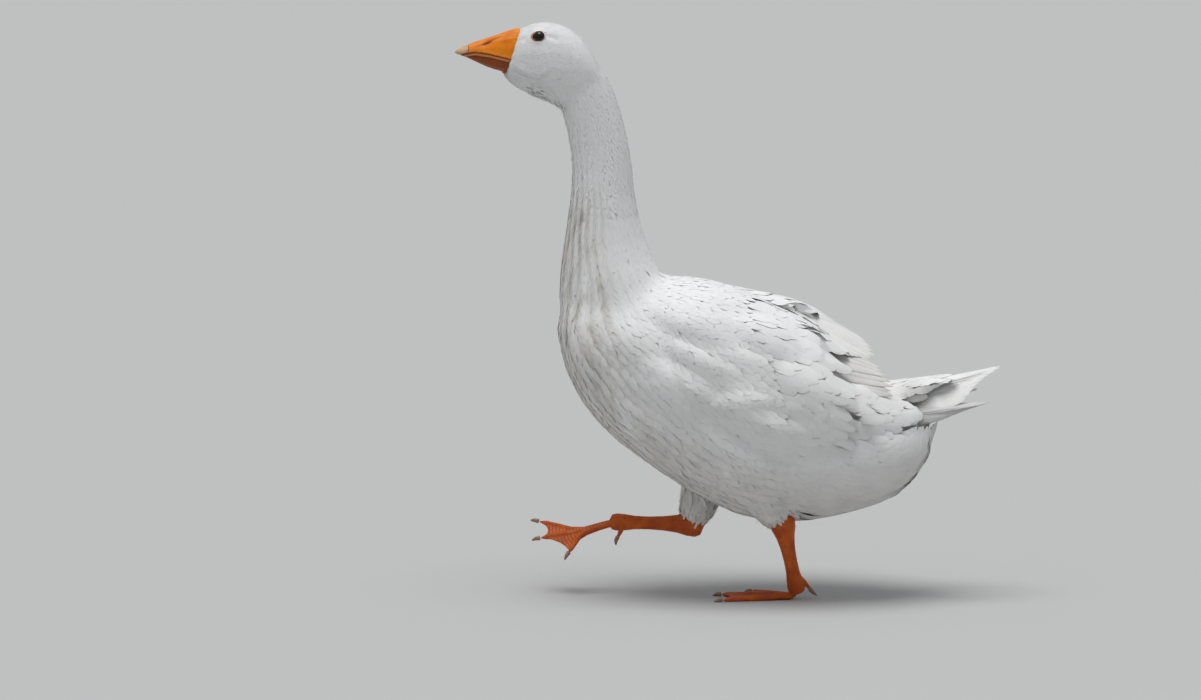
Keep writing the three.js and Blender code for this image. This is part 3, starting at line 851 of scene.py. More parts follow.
def shading(ring, facing, normal, way, across):
    """Normals at the face corners that make vanes round off softly into the plumage round them."""
    sides = len(ring)
    lean = 0.14 * np.array([a for a, _ in ring])[:, None]
    over = unit(facing[..., None, :] + across[..., None, :] * lean)
    under = unit(across[..., None, :] * lean - normal[..., None, :])
    upper = (np.arange(sides) < [a for a, _ in ring].index(1.0))[:, None]
    walls = []
    for row, turn in ((slice(None, -1), 0), (slice(None, -1), -1), (slice(1, None), -1), (slice(1, None), 0)):
        walls.append(np.where(upper, np.roll(over[:, row], turn, 2), np.roll(under[:, row], turn, 2)))
    ends = [np.repeat(w[:, None], sides, 1).reshape(-1, 3) for w in (-way[:, 0], way[:, -1])]
    return np.vstack([np.stack(walls, 3).reshape(-1, 3), *ends])


def vane_mesh(name, centre, normal, way, half, crown, ring, marks, spots, droop, edge, facing):
    """Many closed vanes: stations along each, with a ring of points round every station."""
    count, stations, _ = centre.shape
    sides = len(ring)
    across = unit(np.cross(way, normal))
    points = np.empty((count, stations, sides, 3))
    for k, (a, b) in enumerate(ring):
        side = 0 if a < 0 else 1
        wide = half * a * edge[..., side]
        rise = b * crown - (droop if np.ndim(droop) == 0 else droop[..., side]) * a * a * half
        points[:, :, k] = centre + across * wide[..., None] + normal * rise[..., None]
    index = np.arange(count * stations * sides).reshape(count, stations, sides)
    after = np.roll(index, -1, 2)
    walls = np.stack([index[:, :-1], after[:, :-1], after[:, 1:], index[:, 1:]], -1).reshape(-1)
    root = index[:, 0, ::-1].reshape(-1)
    tip = index[:, -1].reshape(-1)
    wall_count = count * (stations - 1) * sides
    starts = np.r_[even_starts(wall_count, 4), wall_count * 4 + even_starts(2 * count, sides)]
    t = np.asarray(spots)
    spot = np.broadcast_to(marks["place"][:, None, None], (count, stations, sides, 2))
    lateral = np.array([a for a, _ in ring])
    patch = np.stack(np.broadcast_arrays((lateral * 0.5)[None, None], (t - 0.5)[None, :, None]), -1)
    uv = (spot + TUFT_PATCH * patch).reshape(-1, 2)
    data = {"along": np.broadcast_to(t[None, :, None], (count, stations, sides)).ravel()}
    steps = np.linalg.norm(np.diff(centre, axis=1), axis=2)
    run = np.concatenate([np.zeros((count, 1)), np.cumsum(steps, 1)], 1)
    out = np.abs(lateral)[None, None] * half[..., None]
    data["barbs"] = ((run[..., None] + 0.9 * out) / BARB).ravel()
    for key in ("soil_and_shade", "tone", "darkening"):
        values = marks[key]
        values = values.reshape(values.shape + (1,) * (3 - values.ndim))
        data[key] = np.broadcast_to(values, (count, stations, sides)).ravel()
    corners = np.concatenate([walls, root, tip])
    thing = mesh_object(name, points.reshape(-1, 3), corners, starts, data, {"OFBake": uv})
    ends = np.empty(len(thing.data.edges) * 2, int)
    thing.data.edges.foreach_get("vertices", ends)
    ends = ends.reshape(-1, 2)
    k, row = ends % sides, ends // sides % stations
    rims = [i for i, (a, _) in enumerate(ring) if abs(a) == 1.0]
    sharp = (k[:, 0] == k[:, 1]) & np.isin(k[:, 0], rims)
    sharp |= (row[:, 0] == row[:, 1]) & np.isin(row[:, 0], (0, stations - 1))
    thing.data.attributes.new("sharp_edge", "BOOLEAN", "EDGE").data.foreach_set("value", sharp)
    shade = np.ascontiguousarray(shading(ring, facing, normal, way, across), np.float32)
    normals = thing.data.attributes.new("custom_normal", "FLOAT_VECTOR", "CORNER")
    normals.data.foreach_set("vector", shade.ravel())
    return thing


def scattered(surface, room, seed):
    """Points spread evenly over a surface, at least room apart, where room is a value at each vertex."""
    rng = np.random.default_rng(seed)
    corners = surface.points[surface.quads]
    diagonals = corners[:, 2] - corners[:, 0], corners[:, 3] - corners[:, 1]
    area = 0.5 * np.linalg.norm(np.cross(*diagonals), axis=1)
    face_room = room[surface.quads].mean(1)
    share = np.where(face_room < 0.5, area / face_room**2, 0)
    count = int(share.sum() * 4.2)
    picked = rng.choice(len(area), count, p=share / share.sum())
    u, v = rng.random((2, count, 1))
    a, b, c, d = (corners[picked, k] for k in range(4))
    points = (a * (1 - u) + b * u) * (1 - v) + (d * (1 - u) + c * u) * v
    rooms = face_room[picked]
    tree = KDTree(count)
    for i, p in enumerate(points.tolist()):
        tree.insert(p, i)
    tree.balance()
    free = np.ones(count, bool)
    kept = []
    for i, p in enumerate(points.tolist()):
        if free[i]:
            kept.append(i)
            for _, k, _ in tree.find_range(p, rooms[i]):
                free[k] = False
    return points[kept]


def lie(points, normal):
    """The way feathers lie at points of the body."""
    run, angle, _, way = chart(points)
    flow = np.stack([way[:, 0], np.zeros(len(way)), way[:, 1]], 1)
    side = np.sin(np.abs(angle))
    sag = smoothstep(run, 0.42, 0.6) * side * 0.30
    flow[:, 2] -= sag * (1 - smoothstep(run, 0.70, 0.85))
    on_thigh, down = thigh_share(points)
    flow = lerp(flow, down, on_thigh[:, None])
    # on the blunt end below the tail they lie upwards
    cap = smoothstep((unit(flow) * normal).sum(1), 0.45, 0.8) * (points[:, 0] > 0.1)
    cap *= 1 - smoothstep(normal[:, 2], 0.2, 0.45)
    flow = lerp(flow, np.array((0.30, 0, 0.95)), cap[:, None])
    return unit(flat_part(flow, normal))


def paths(surface, roots, length, spots, turn):
    """The line of each feather over the surface, with three kinds of normals at its stations, and which
    feathers to keep. Past an edge a feather goes straight on."""
    place, normal, soft, tilt = surface.nearest(roots)
    flow = lie(place, normal)
    way = unit(flow * np.cos(turn)[:, None] + np.cross(normal, flow) * np.sin(turn)[:, None])
    stations = [(place, normal, soft, tilt)]
    free = np.zeros(len(roots))
    for part in np.diff(spots):
        step = (length * part)[:, None]
        ahead = place + way * step
        near, near_normal, near_soft, near_tilt = surface.nearest(ahead)
        bent = unit(flat_part(0.55 * way + 0.45 * lie(near, near_normal), near_normal))
        off = np.linalg.norm(near - ahead, axis=1)[:, None]
        holds = (dot(near_normal, normal) > 0.88) & (off < 0.5 * step)
        place = np.where(holds, near, ahead)
        normal = np.where(holds, near_normal, normal)
        soft = np.where(holds, near_soft, soft)
        tilt = np.where(holds, near_tilt, tilt)
        way = np.where(holds, bent, way)
        free += part * ~holds[:, 0]
        stations.append((place, normal, soft, tilt))
    centre, normals, softs, tilts = (np.stack(rows, 1) for rows in zip(*stations))
    steps = unit(np.diff(centre, axis=1))
    x, y, z = centre[:, -1].T
    kept = (steps[:, 1:] * steps[:, :-1]).sum(2).min(1) > 0.80
    kept &= (steps[:, 0] * steps[:, -1]).sum(1) > 0.55
    # none that stand up on the back, over the right wing's ridge or behind the vent, or that cross an eye
    kept &= (steps[:, -1, 2] < 0.28) | (x < -0.03) | (z < 0.225)
    kept &= ~((x > 0.116) & (y > 0.002) & (y < 0.075) & (z > lerp(0.372, 0.310, (x - 0.08) / 0.11) - 0.012))
    kept &= ~((free > 0.3) & (x > 0.22) & (z < 0.250))
    kept &= eye_gap(centre.reshape(-1, 3)).reshape(len(centre), -1).min(1) > 1
    return centre[kept], normals[kept], softs[kept], tilts[kept], kept


def falling_away(surface, centre, normal, across, half):
    """How far the edges of feathers hang at their stations, to either side, so that they follow the surface:
    a share of the half width."""
    shape = centre.shape[:2]
    middle = swell(centre.reshape(-1, 3), normal.reshape(-1, 3))
    falls = []
    for side in (-1, 1):
        spots_beside = (centre + across * (side * half)[:, None, None]).reshape(-1, 3)
        near, near_normal, _, _ = surface.nearest(spots_beside)
        fall = ((spots_beside - near) * normal.reshape(-1, 3)).sum(1) - (swell(near, near_normal) - middle)
        fall = (fall.reshape(shape) / half[:, None]).clip(-0.10, 0.55)
        falls.append((np.roll(fall, 1, 1) * 0.25 + fall * 0.5 + np.roll(fall, -1, 1) * 0.25)[:, 1:-1])
    falls = np.pad(np.stack(falls, -1), ((0, 0), (1, 1), (0, 0)), mode="edge")
    return DROOP + falls


def feathers_over(name, roots, look, coat, seed, ring, outline, length, half, crown, rise, wander=0.06,
                  lift=0.00008, ragged=0.06, darkening=None, softness=0.8):
    """One piece of the coat from roots on the outside of the plumage. The outline gives stations along a
    feather and its width there. Rise is how soon it comes up to the outside, wander how far it strays from
    the lie, lift how far its tip stands off, and softness how much its shade follows the whole plumage."""
    rng = np.random.default_rng(seed)
    outside = form["outside"]
    spots, outline = outline
    count, stations = len(roots), len(outline)
    length = length * rng.uniform(0.88, 1.12, count)
    centre, normals, softs, tilts, good = paths(outside, roots, length, spots, rng.normal(0, wander, count))
    roots, half, count = roots[good], half[good], int(good.sum())
    darkening = None if darkening is None else darkening[good]
    flat = centre.reshape(-1, 3)
    run, angle, radius, spine_way = chart(flat)
    shallow = lerp(0.2, 1.0, smoothstep(eye_gap(flat), 1.0, 2.1))
    depth = lerp(coat_depth(flat, run) * shallow, THIGH_DEPTH, thigh_share(flat)[0]).reshape(count, stations)
    t = np.array(spots)[None]
    deep, turn_by = furrow(run, angle)
    deep = deep.reshape(count, stations)
    mound = swell(flat, normals.reshape(-1, 3)).reshape(count, stations)
    climb = 1 - (1 - t) ** rise
    height = mound - (depth + 0.0004) * (1 - climb) - furrow_depth(run, coat).reshape(count, stations) * deep
    height = height + np.abs(rng.normal(0, lift, (count, 1))) * t + 0.0003 * (climb + t)
    belly = np.stack([spine_way[:, 1], np.zeros(len(flat)), -spine_way[:, 0]], 1)
    around = -np.sin(angle)[:, None] * belly + np.cos(angle)[:, None] * np.array((0, 1.0, 0))
    pull = (around * (turn_by * radius)[:, None]).reshape(count, stations, 3)
    surface_line = centre
    centre = centre + normals * height[..., None] + pull * (0.5 * t[..., None])
    way = unit(np.gradient(centre, axis=1))
    normals = unit(flat_part(tilts, way))
    size = half * rng.uniform(0.85, 1.15, count)
    wide = size[:, None] * np.array(outline)[None]
    droop = DROOP
    if ring is not TUFT:
        across = unit(np.cross(way, normals))
        droop = falling_away(outside, surface_line, normals, across, size) * np.array(outline)[None, :, None]
    edge = 1 + rng.normal(0, ragged, (count, stations, 2))
    root_run, root_angle, _, _ = chart(roots)
    unwrapped = np.stack([root_angle / (2 * math.pi) + 0.5, root_run / SPINE_LENGTH], 1)
    marks = {
        "place": unwrapped * 0.98 + 0.01,
        "soil_and_shade": soil_and_shade_at(flat).reshape(count, stations) * (0.5 + 0.9 * deep),
        "tone": rng.uniform(0.3, 1.0, count),
        "darkening": np.zeros(count) if darkening is None else darkening,
    }
    thick = np.full((count, stations), crown) * np.interp(t, (0, 0.6, 1), (1, 1, 0.35))
    facing = unit(lerp(normals, softs, softness))
    made = vane_mesh(name, centre, normals, way, wide, thick, ring, marks, spots, droop, edge, facing)
    settle(made, plumage(look), "plumage")


def furrow_depth(run, coat):
    """How deep furrows are cut in the coat, in metres."""
    return lerp(coat.furrow, coat.furrow * 1.3, smoothstep(run, 0.3, 0.5))


def eye_gap(points):
    """Distance from the eyes' middles as a share of what feathers leave bare, which is longest in front."""
    gap = np.full(len(points), 9.0)
    for side in (-1, 1):
        rise, out, ahead = round_eye(points, side)
        room = 0.0071 + 0.0019 * ahead**4
        gap = np.minimum(gap, np.where((rise > 0) & (out < 0.02), out / room, 9.0))
    return gap


def feather_roots(coat):
    """Roots of all the feathers that lie over the skin, by the piece of the coat they belong to."""
    outside = form["outside"]
    room = lerp(coat_at(chart(outside.points)[0], 4), 0.0027, thigh_share(outside.points)[0])
    room = lerp(room, 0.0088, wing_share(outside.points)) * coat.room_scale
    roots = scattered(outside, room, coat.seed)
    run, angle, _, _ = chart(roots)
    side = np.abs(angle)
    x, y, z = roots.T
    clear = ~((x > 0.264) & (z > 0.240)) & ~((x < face_line(z)) & (z > 0.667))  # off the tail and the bill
    left = y < 0
    wing = (wing_share(roots) > 0.5) & (run > 0.42)
    head = run < HEAD_END
    neck = ~head & (run < NECK_END)
    thigh = (thigh_share(roots)[0] > 0.5) & ~wing
    body = ~head & ~neck & ~thigh & ~wing
    pieces = {
        "left_head_feathers": head & left,
        "right_head_feathers": head & ~left,
        "left_neck_feathers": neck & (run < NECK_MIDDLE) & left,
        "right_neck_feathers": neck & (run < NECK_MIDDLE) & ~left,
        "lower_neck_feathers": neck & (run >= NECK_MIDDLE),
        "thigh_feathers": thigh,
        "belly_feathers": body & (side < 0.75),
        "left_side_feathers": body & (side >= 0.75) & (side < 2.2) & left,
        "right_side_feathers": body & (side >= 0.75) & (side < 2.2) & ~left,
        "back_feathers": body & (side >= 2.2),
        "left_wing_coverts": wing & left,
        "right_wing_coverts": wing & ~left,
    }
    return {name: roots[mask & clear] for name, mask in pieces.items()}


def build_coat(look, coat):
    """The small feathers over all of the body, and the loose tufts that stand off them."""
    # outlines: stations from root to tip, and the share of the half width there
    slim = ((0, 0.3, 0.62, 0.87, 1), (0.5, 0.95, 1.0, 0.78, 0.10))
    broad = ((0, 0.3, 0.55, 0.76, 0.91, 1), (0.4, 0.92, 1.0, 0.93, 0.62, 0.10))
    covert = (
        (0, 0.22, 0.42, 0.60, 0.74, 0.85, 0.93, 0.98, 1),
        (0.35, 0.75, 0.95, 1.0, 0.97, 0.85, 0.62, 0.34, 0.08),
    )
    for number, (name, roots) in enumerate(feather_roots(coat).items()):
        run = chart(roots)[0]
        rump = smoothstep(roots[:, 0], 0.20, 0.25) * smoothstep(roots[:, 2], 0.21, 0.235)
        length, half = coat_at(run, 2) * lerp(1.0, 0.62, rump), coat_at(run, 3) * lerp(1.0, 0.75, rump)
        seed = coat.seed + 11 * number
        options = dict(ring=TUFT, outline=slim, crown=0.0002, rise=2.8)
        if name.endswith("head_feathers"):
            options.update(crown=0.00008, lift=0.00003, wander=0.10)
        elif name in ("left_neck_feathers", "right_neck_feathers"):
            options.update(crown=0.0001, wander=0.08, lift=0.00005)
        elif name == "thigh_feathers":
            length, half = np.full(len(roots), 0.012), np.full(len(roots), 0.0020)
            options.update(crown=0.0003, rise=2.0, wander=0.12, lift=0.0002)
        elif name.endswith("coverts"):
            back = smoothstep(roots[:, 0], 0.10, 0.19)
            length, half = lerp(0.048, 0.034, back), lerp(0.0074, 0.0058, back)
            options.update(
                ring=QUILL, outline=covert, crown=0.00014, rise=4.0, lift=0.00002, ragged=0.05, softness=0.92
            )
        else:
            options.update(ring=VANE, outline=broad, crown=0.00009, rise=4.4, lift=0.00001, softness=0.95)
        feathers_over(name, roots, look, coat, seed, length=length, half=half, **options)
    outside = form["outside"]
    run, angle, _, _ = chart(outside.points)
    side = np.abs(angle)
    x, _, z = outside.points.T
    rng = np.random.default_rng(coat.seed + 500)
    # where they grow, the room of each, length, half width, lift of the tip and the share of dark ones
    for name, here, room, long, wide, lift, dark in (
        ("throat_tufts", (run > 0.018) & (run < 0.128) & (side < 0.62), 0.0021, 0.0105, 0.0007, 0.0015, 0.5),
        ("neck_tufts", (run > 0.120) & (run < 0.36) & (side < 1.25), 0.0050, 0.0115, 0.0010, 0.0011, 0.03),
        ("breast_tufts", (run > 0.36) & (run < 0.62) & (side < 1.1), 0.0100, 0.020, 0.0018, 0.0010, 0.0),
        ("thigh_tufts", thigh_share(outside.points)[0] > 0.4, 0.0042, 0.010, 0.0011, 0.0012, 0.0),
        ("vent_tufts", (x > 0.215) & (z > 0.14) & (z < 0.225), 0.0095, 0.020, 0.0018, 0.0006, 0.0),
    ):
        here &= face_line(z) < x - 0.001
        roots = scattered(outside, np.where(here, room, 1.0), coat.seed + 1)
        band = 1 - smoothstep(np.abs(chart(roots)[1]), 0.30, 0.52)
        darkening = np.where(rng.random(len(roots)) < dark * band, rng.uniform(0.35, 0.85, len(roots)), 0.0)
        feathers_over(
            name, roots, look, coat, coat.seed + 2, ring=TUFT, outline=slim, length=np.full(len(roots), long),
            half=np.full(len(roots), wide), crown=0.00025, rise=1.6, wander=0.28, lift=lift, darkening=darkening,
            softness=0.6,
        )


# ------------------------------------------------------------ long feathers

# Bundles of long feathers: root and tip of the middle line, half width and thickness of the bundle, bow of
# the middle line, lean of its upper side in degrees, arch across it, how many feathers of which half width,
# which edge has the short ones (0 for both) and the share they are cut short by, share of the width that is
# left at the tips, fall of the outer tips, where a feather starts to narrow, and the CAD node it stands for.
BUNDLES = {
    "left_flight_feathers": dict(
        root=(0.076, -0.052, 0.314), tip=(0.225, -0.042, 0.277), wide=0.034, thick=0.014, bow=0.004, lean=52,
        count=9, half=0.0074, upper=-1, short=0.34, fan=0.66, sag=0.0, point=0.5,
        node="left_flight_feathers"),
    "right_flight_feathers": dict(
        root=(0.080, 0.056, 0.316), tip=(0.189, 0.038, 0.306), wide=0.026, thick=0.006, bow=0.0, lean=-52,
        count=11, half=0.0070, upper=1, short=0.40, fan=0.62, sag=0.0,
        node="right_flight_feathers"),
    "right_shoulder_feathers": dict(
        root=(0.056, 0.018, 0.361), tip=(0.207, 0.019, 0.3085), wide=0.026, thick=0.006, bow=0.006, lean=38,
        count=7, half=0.0088, upper=-1, short=0.50, fan=0.64, sag=0.0, point=0.6,
        node="right_flight_feathers"),
    "left_shoulder_feathers": dict(
        root=(0.060, -0.028, 0.361), tip=(0.190, -0.030, 0.296), wide=0.024, thick=0.004, bow=0.003, lean=14,
        count=9, half=0.0080, upper=1, short=0.30, fan=0.64, sag=0.0, point=0.5,
        node="left_flight_feathers"),
    "tail_feathers": dict(
        root=(0.196, 0.0, 0.258), tip=(0.3425, 0.0, 0.2925), wide=0.040, thick=0.005, bow=0.0, lean=12,
        arch=0.013, count=17, half=0.0105, upper=0, short=0.32, fan=0.68, sag=0.012, point=0.45,
        node="tail"),
    "left_tail_feathers": dict(
        root=(0.186, -0.034, 0.232), tip=(0.328, -0.022, 0.250), wide=0.017, thick=0.004, bow=0.002, lean=58,
        arch=0.006, count=11, half=0.0052, upper=0, short=0.34, fan=0.30, sag=0.004, point=0.40,
        node="tail_left"),
    "right_tail_feathers": dict(
        root=(0.186, 0.034, 0.238), tip=(0.318, 0.036, 0.260), wide=0.017, thick=0.004, bow=0.003, lean=-58,
        arch=0.006, count=11, half=0.0052, upper=0, short=0.34, fan=0.30, sag=0.004, point=0.40,
        node="tail_right"),
}


def bundle_feathers(name, look, seed):
    """A fan of long feathers in the room of one CAD bundle, the middle ones on top."""
    spec = BUNDLES[name]
    rng = np.random.default_rng(seed)
    root, tip = np.array(spec["root"]), np.array(spec["tip"])
    way = unit(tip - root)
    up = np.array(Matrix.Rotation(math.radians(spec["lean"]), 3, Vector(way)) @ Vector((0, 0, 1)))
    up = unit(flat_part(up, way))
    across = np.cross(way, up)
    count = spec["count"]
    stations = 18
    t = np.linspace(0, 1, stations)
    outline = 0.45 + 0.55 * smoothstep(t, 0.0, 0.3)
    point = spec.get("point", 0.6)
    taper = np.clip((t - point) / (1.008 - point), 0, 1) ** (1.3 + 1.5 * point)
    outline = outline * np.clip(1 - taper, 0.0, 1) ** 0.75
    offset = np.linspace(-1, 1, count)
    order = np.abs(offset)
    above = (1 + offset * spec["upper"]) / 2 if spec["upper"] else order
    long = np.linalg.norm(tip - root)
    root_fan = 0.62  # share of the bundle's width that the roots take up
    starts = root + across * (offset * spec["wide"] * root_fan)[:, None]
    starts = starts - way * (0.010 * rng.random(count))[:, None]
    ends = tip + across * (offset * spec["wide"] * spec["fan"])[:, None]
    cut = spec["short"] * above**1.3 + (0.10 * (1 - above) ** 2 if spec["upper"] else 0.0)
    ends = ends - way * (long * (cut + 0.05 * rng.random(count)))[:, None]
    ends[:, 2] -= spec["sag"] * order**2
    arch = spec.get("arch", 0.0)
    layer = spec["thick"] * (0.30 - 0.70 * order) - arch * order**2 + rng.normal(0, 0.0002, count)
    line = starts[:, None] + (ends - starts)[:, None] * t[None, :, None]
    bow = spec["bow"] * np.sin(np.pi * t)
    line = line + up * (bow[None] + layer[:, None] * lerp(1.0, 0.55, t)[None])[..., None]
    sweep = 0.004 * offset[:, None] * np.sin(np.pi * t)[None]
    line = line + across * sweep[..., None]
    tangent = unit(np.gradient(line, axis=1))
    width = spec["wide"] * lerp(root_fan, spec["fan"], 0.5)
    tilt = np.radians(8) * offset + np.arctan(2 * arch * offset / width)
    face = up[None] * np.cos(tilt)[:, None] + across[None] * np.sin(tilt)[:, None]
    normal = unit(flat_part(np.broadcast_to(face[:, None], line.shape), tangent))
    half = spec["half"] * rng.uniform(0.92, 1.08, count)[:, None] * outline[None]
    ragged = 1 + 0.05 * rng.normal(size=(count, stations, 2)) * smoothstep(t, 0.3, 0.9)[None, :, None]
    place = np.stack([0.05 + 0.9 * (np.arange(count) + 0.5) / count, np.full(count, 0.5)], 1)
    soil_and_shade = soil_and_shade_at(line.reshape(-1, 3)).reshape(count, stations)
    # painted shade: the rims of every long feather are darkened a little so that the feathers stand apart
    rim = np.array([abs(a) == 1 for a, _ in QUILL])
    marks = {
        "place": place, "soil_and_shade": np.clip(soil_and_shade * 0.8 + 0.16, 0, 1), "tone": rng.uniform(0.55, 1.0, count),
        "darkening": np.broadcast_to(0.20 * rim, (count, stations, len(QUILL))),
    }
    facing = unit(lerp(normal, up[None, None], 0.5))
    made = vane_mesh(
        name.replace("feathers", "vanes"), line, normal, tangent, half, np.full((count, stations), 0.0004),
        QUILL, marks, t, droop=0.13, edge=ragged, facing=facing,
    )
    # each feather's patch on the map is stretched to a strip of its own
    uv = made.data.uv_layers["OFBake"].data
    flat = np.empty(len(uv) * 2)
    uv.foreach_get("uv", flat)
    flat = flat.reshape(-1, 2)
    middle = np.repeat(place, stations * len(QUILL), 0)
    corners = np.empty(len(made.data.loops), int)
    made.data.loops.foreach_get("vertex_index", corners)
    stretch = np.array((0.8 / count / TUFT_PATCH, 0.9 / TUFT_PATCH))
    flat = middle[corners] + (flat - middle[corners]) * stretch
    uv.foreach_set("uv", flat.ravel())
    settle(made, plumage(look), "plumage", spec["node"])


# ------------------------------------------------------------ bill, eyes and claws


def face_line(z):
    """Where along x the feathers of the face begin at a height."""
    return -0.2684 + (z - BILL_HEIGHT) * 0.309


def mouth_height(x):
    """How high the line of the mouth is along x."""
    line = np.array(MOUTH)
    return np.interp(x, line[:, 0], line[:, 1])


def build_bill(look):
    """Upper bill with its nostrils, lower bill with its ridge, and the nail."""
    finishes = {
        "upper_bill": ("bill_wax", look.bill, look.bill_shade, "bill"),
        "lower_bill": ("lower_bill_wax", look.lower_bill, [0.8 * c for c in look.lower_bill], "lower_bill"),
        "bill_nail": ("nail_horn", look.nail, [0.85 * c for c in look.nail], "horn"),
    }
    for node, (finish_name, main_colour, shade, slot) in finishes.items():
        finish = bill_material(finish_name, main_colour, shade, look)
        part = remeshed(node_mesh((node,)), BILL_QUAD)
        part.points = part.smooth(part.points, 60 if node != "bill_nail" else 14)
        p = part.points
        if node != "bill_nail":
            # the root narrows and reaches back under the feathers of the face
            behind = smoothstep(p[:, 0] - face_line(p[:, 2]), -0.0022, -0.0006)
            middle = np.stack([p[:, 0], np.zeros(len(p)), np.full(len(p), BILL_HEIGHT)], 1)
            back = np.array((0.006, 0, 0.001 if node == "lower_bill" else -0.0015))
            p = p + (unit(middle - p) * 0.0013 + back) * behind[:, None]
        normal = part.normals()
        x, z = p[:, 0], p[:, 2]
        lines = np.zeros(len(p))
        pale = np.zeros(len(p))
        sink = np.zeros(len(p))
        outer = smoothstep(np.abs(normal[:, 1]), 0.3, 0.6)
        if node == "upper_bill":
            a = math.radians(NOSTRIL_TILT)
            u = (x - NOSTRIL[0]) * math.cos(a) + (z - NOSTRIL[1]) * math.sin(a)
            v = -(x - NOSTRIL[0]) * math.sin(a) + (z - NOSTRIL[1]) * math.cos(a)
            slit = np.exp(-((u / 0.0058) ** 2) ** 1.5 - (v / 0.0015) ** 2) * outer
            crease = np.exp(-(((u - 0.012) / 0.007) ** 2) ** 2 - ((v - 0.0006) / 0.0009) ** 2) * outer
            hollow = np.exp(-(((u - 0.002) / 0.012) ** 2) - (v / 0.0042) ** 2) * outer
            sink += 0.0018 * slit + 0.0009 * hollow + 0.0005 * crease
            # painted shade in the nostril, the hollow round it and the crease behind it
            lines += 0.95 * slit + 0.22 * hollow + 0.35 * crease
            above = z - mouth_height(x)
            roll = np.exp(-(((above - 0.0022) / 0.0016) ** 2)) * outer
            sink -= 0.0004 * roll
            pale += 0.25 * roll
            # painted shade along the line of the mouth, where the bills meet
            edge = np.exp(-((above / 0.0009) ** 2))
            lines += 0.8 * edge * outer
        elif node == "lower_bill":
            below = mouth_height(x) - z
            groove = np.exp(-(((below - 0.0046) / 0.0009) ** 2)) * outer
            roll = np.exp(-(((below - 0.0026) / 0.0014) ** 2)) * outer
            sink += 0.0009 * groove - 0.0004 * roll
            # painted shade in the groove and along the line of the mouth
            lines += 0.95 * groove + 0.8 * np.exp(-((below / 0.0011) ** 2)) * outer
            pale += 0.75 * roll
        else:
            # painted shade on the nail's back, where it meets the upper bill
            lines += 0.45 * smoothstep(x - 0.9 * (z - BILL_HEIGHT), -0.3262, -0.3232)
        part.points = p - normal * sink[:, None]
        name = node + "_horn" if node != "bill_nail" else "nail"
        made = quad_object(name, part, {"lines": np.clip(lines, 0, 1), "pale": np.clip(pale, 0, 1)})
        settle(made, finish, slot, node)


def build_eyes(look):
    """Both eyeballs, marked with the distance from the middle of the pupil."""
    finish = eye_material(look)
    for name, side in (("left_eye", -1), ("right_eye", 1)):
        centre, axis = (Vector(v) for v in eye_frame(side))
        ball = bmesh.new()
        bmesh.ops.create_uvsphere(ball, u_segments=48, v_segments=28, radius=EYE_RADIUS)
        bmesh.ops.transform(ball, matrix=axis.to_track_quat("Z", "Y").to_matrix().to_4x4(), verts=ball.verts)
        bmesh.ops.translate(ball, vec=centre, verts=ball.verts)
        mesh = mesh_from(ball, name + "ball")
        for face in mesh.polygons:
            face.use_smooth = True
        off = [(v.co - centre - axis * (v.co - centre).dot(axis)).length / EYE_RADIUS for v in mesh.vertices]
        mesh.attributes.new("pupil", "FLOAT", "POINT").data.foreach_set("value", off)
        settle(placed(name + "ball", mesh), finish, "eye", name)


def build_claws(look):
    """The claws of all toes, which don't go below the floor."""
    finish = horn_material(look)
    for side in ("left", "right"):
        for toe in CLAWS:
            node = f"{side}_{toe}_claw"
            part = remeshed(node_mesh((node,)), CLAW_QUAD)
            part.points = part.smooth(part.points, 6)
            part.points[:, 2] = np.maximum(part.points[:, 2], 0.0)
            settle(quad_object(node + "_horn", part), finish, "horn", node)


# ------------------------------------------------------------ stage


def build_stage(stage):
    """A plain pale floor, soft light from above and the camera."""
    scene = bpy.context.scene
    plane = bmesh.new()
    bmesh.ops.create_grid(plane, x_segments=1, y_segments=1, size=60.0)
    floor = placed("floor", mesh_from(plane, "floor"))
    floor.data.materials.append(material_with("floor", Roughness=0.9, Base_Color=colour4(stage.floor))[0])

    world = bpy.data.worlds.new("studio")
    world.use_nodes = True
    tree = world.node_tree
    back = tree.nodes["Background"]
    back.inputs["Color"].default_value = colour4(stage.sky)
    way = tree.nodes.new("ShaderNodeTexCoord")
    split = tree.nodes.new("ShaderNodeSeparateXYZ")
    tree.links.new(way.outputs["Generated"], split.inputs["Vector"])
    level = spread(tree, split.outputs["Z"], 0.0, 0.8, 0.45 * stage.sky_strength, 1.5 * stage.sky_strength)
    tree.links.new(level, back.inputs["Strength"])
    scene.world = world
    for name, place, soft_angle, power in (
        ("over", (-0.25, -0.45, 3.0), 36, stage.over_power),
        ("front", (-2.6, -3.0, 1.6), 60, stage.front_power),
    ):
        lamp = bpy.data.lights.new(name, "SUN")
        lamp.angle, lamp.energy = math.radians(soft_angle), power
        lamp_object = placed(name, lamp)
        lamp_object.location = place
        lamp_object.rotation_mode = "QUATERNION"
        lamp_object.rotation_quaternion = (-Vector(place)).to_track_quat("-Z", "Y")
    lens = bpy.data.cameras.new("camera")
    lens.lens, lens.sensor_width = stage.lens, 36.0
    lens.clip_start, lens.clip_end = 0.1, 200.0
    camera = placed("camera", lens)
    tilt = stage.camera_tilt
    back_off = Vector((0, -math.cos(tilt), math.sin(tilt))) * stage.camera_distance
    camera.location = Vector(stage.camera_target) + back_off
    camera.rotation_mode = "QUATERNION"
    camera.rotation_quaternion = (-back_off).to_track_quat("-Z", "Y")
    scene.camera = camera
    scene.view_settings.view_transform = "Standard"
    scene.view_settings.exposure = stage.exposure


# ------------------------------------------------------------ the add-on


def colour(name, description, default):
    """A colour property."""
    return FloatVectorProperty(
        name=name, description=description, default=default, subtype="COLOR", min=0, max=1
    )


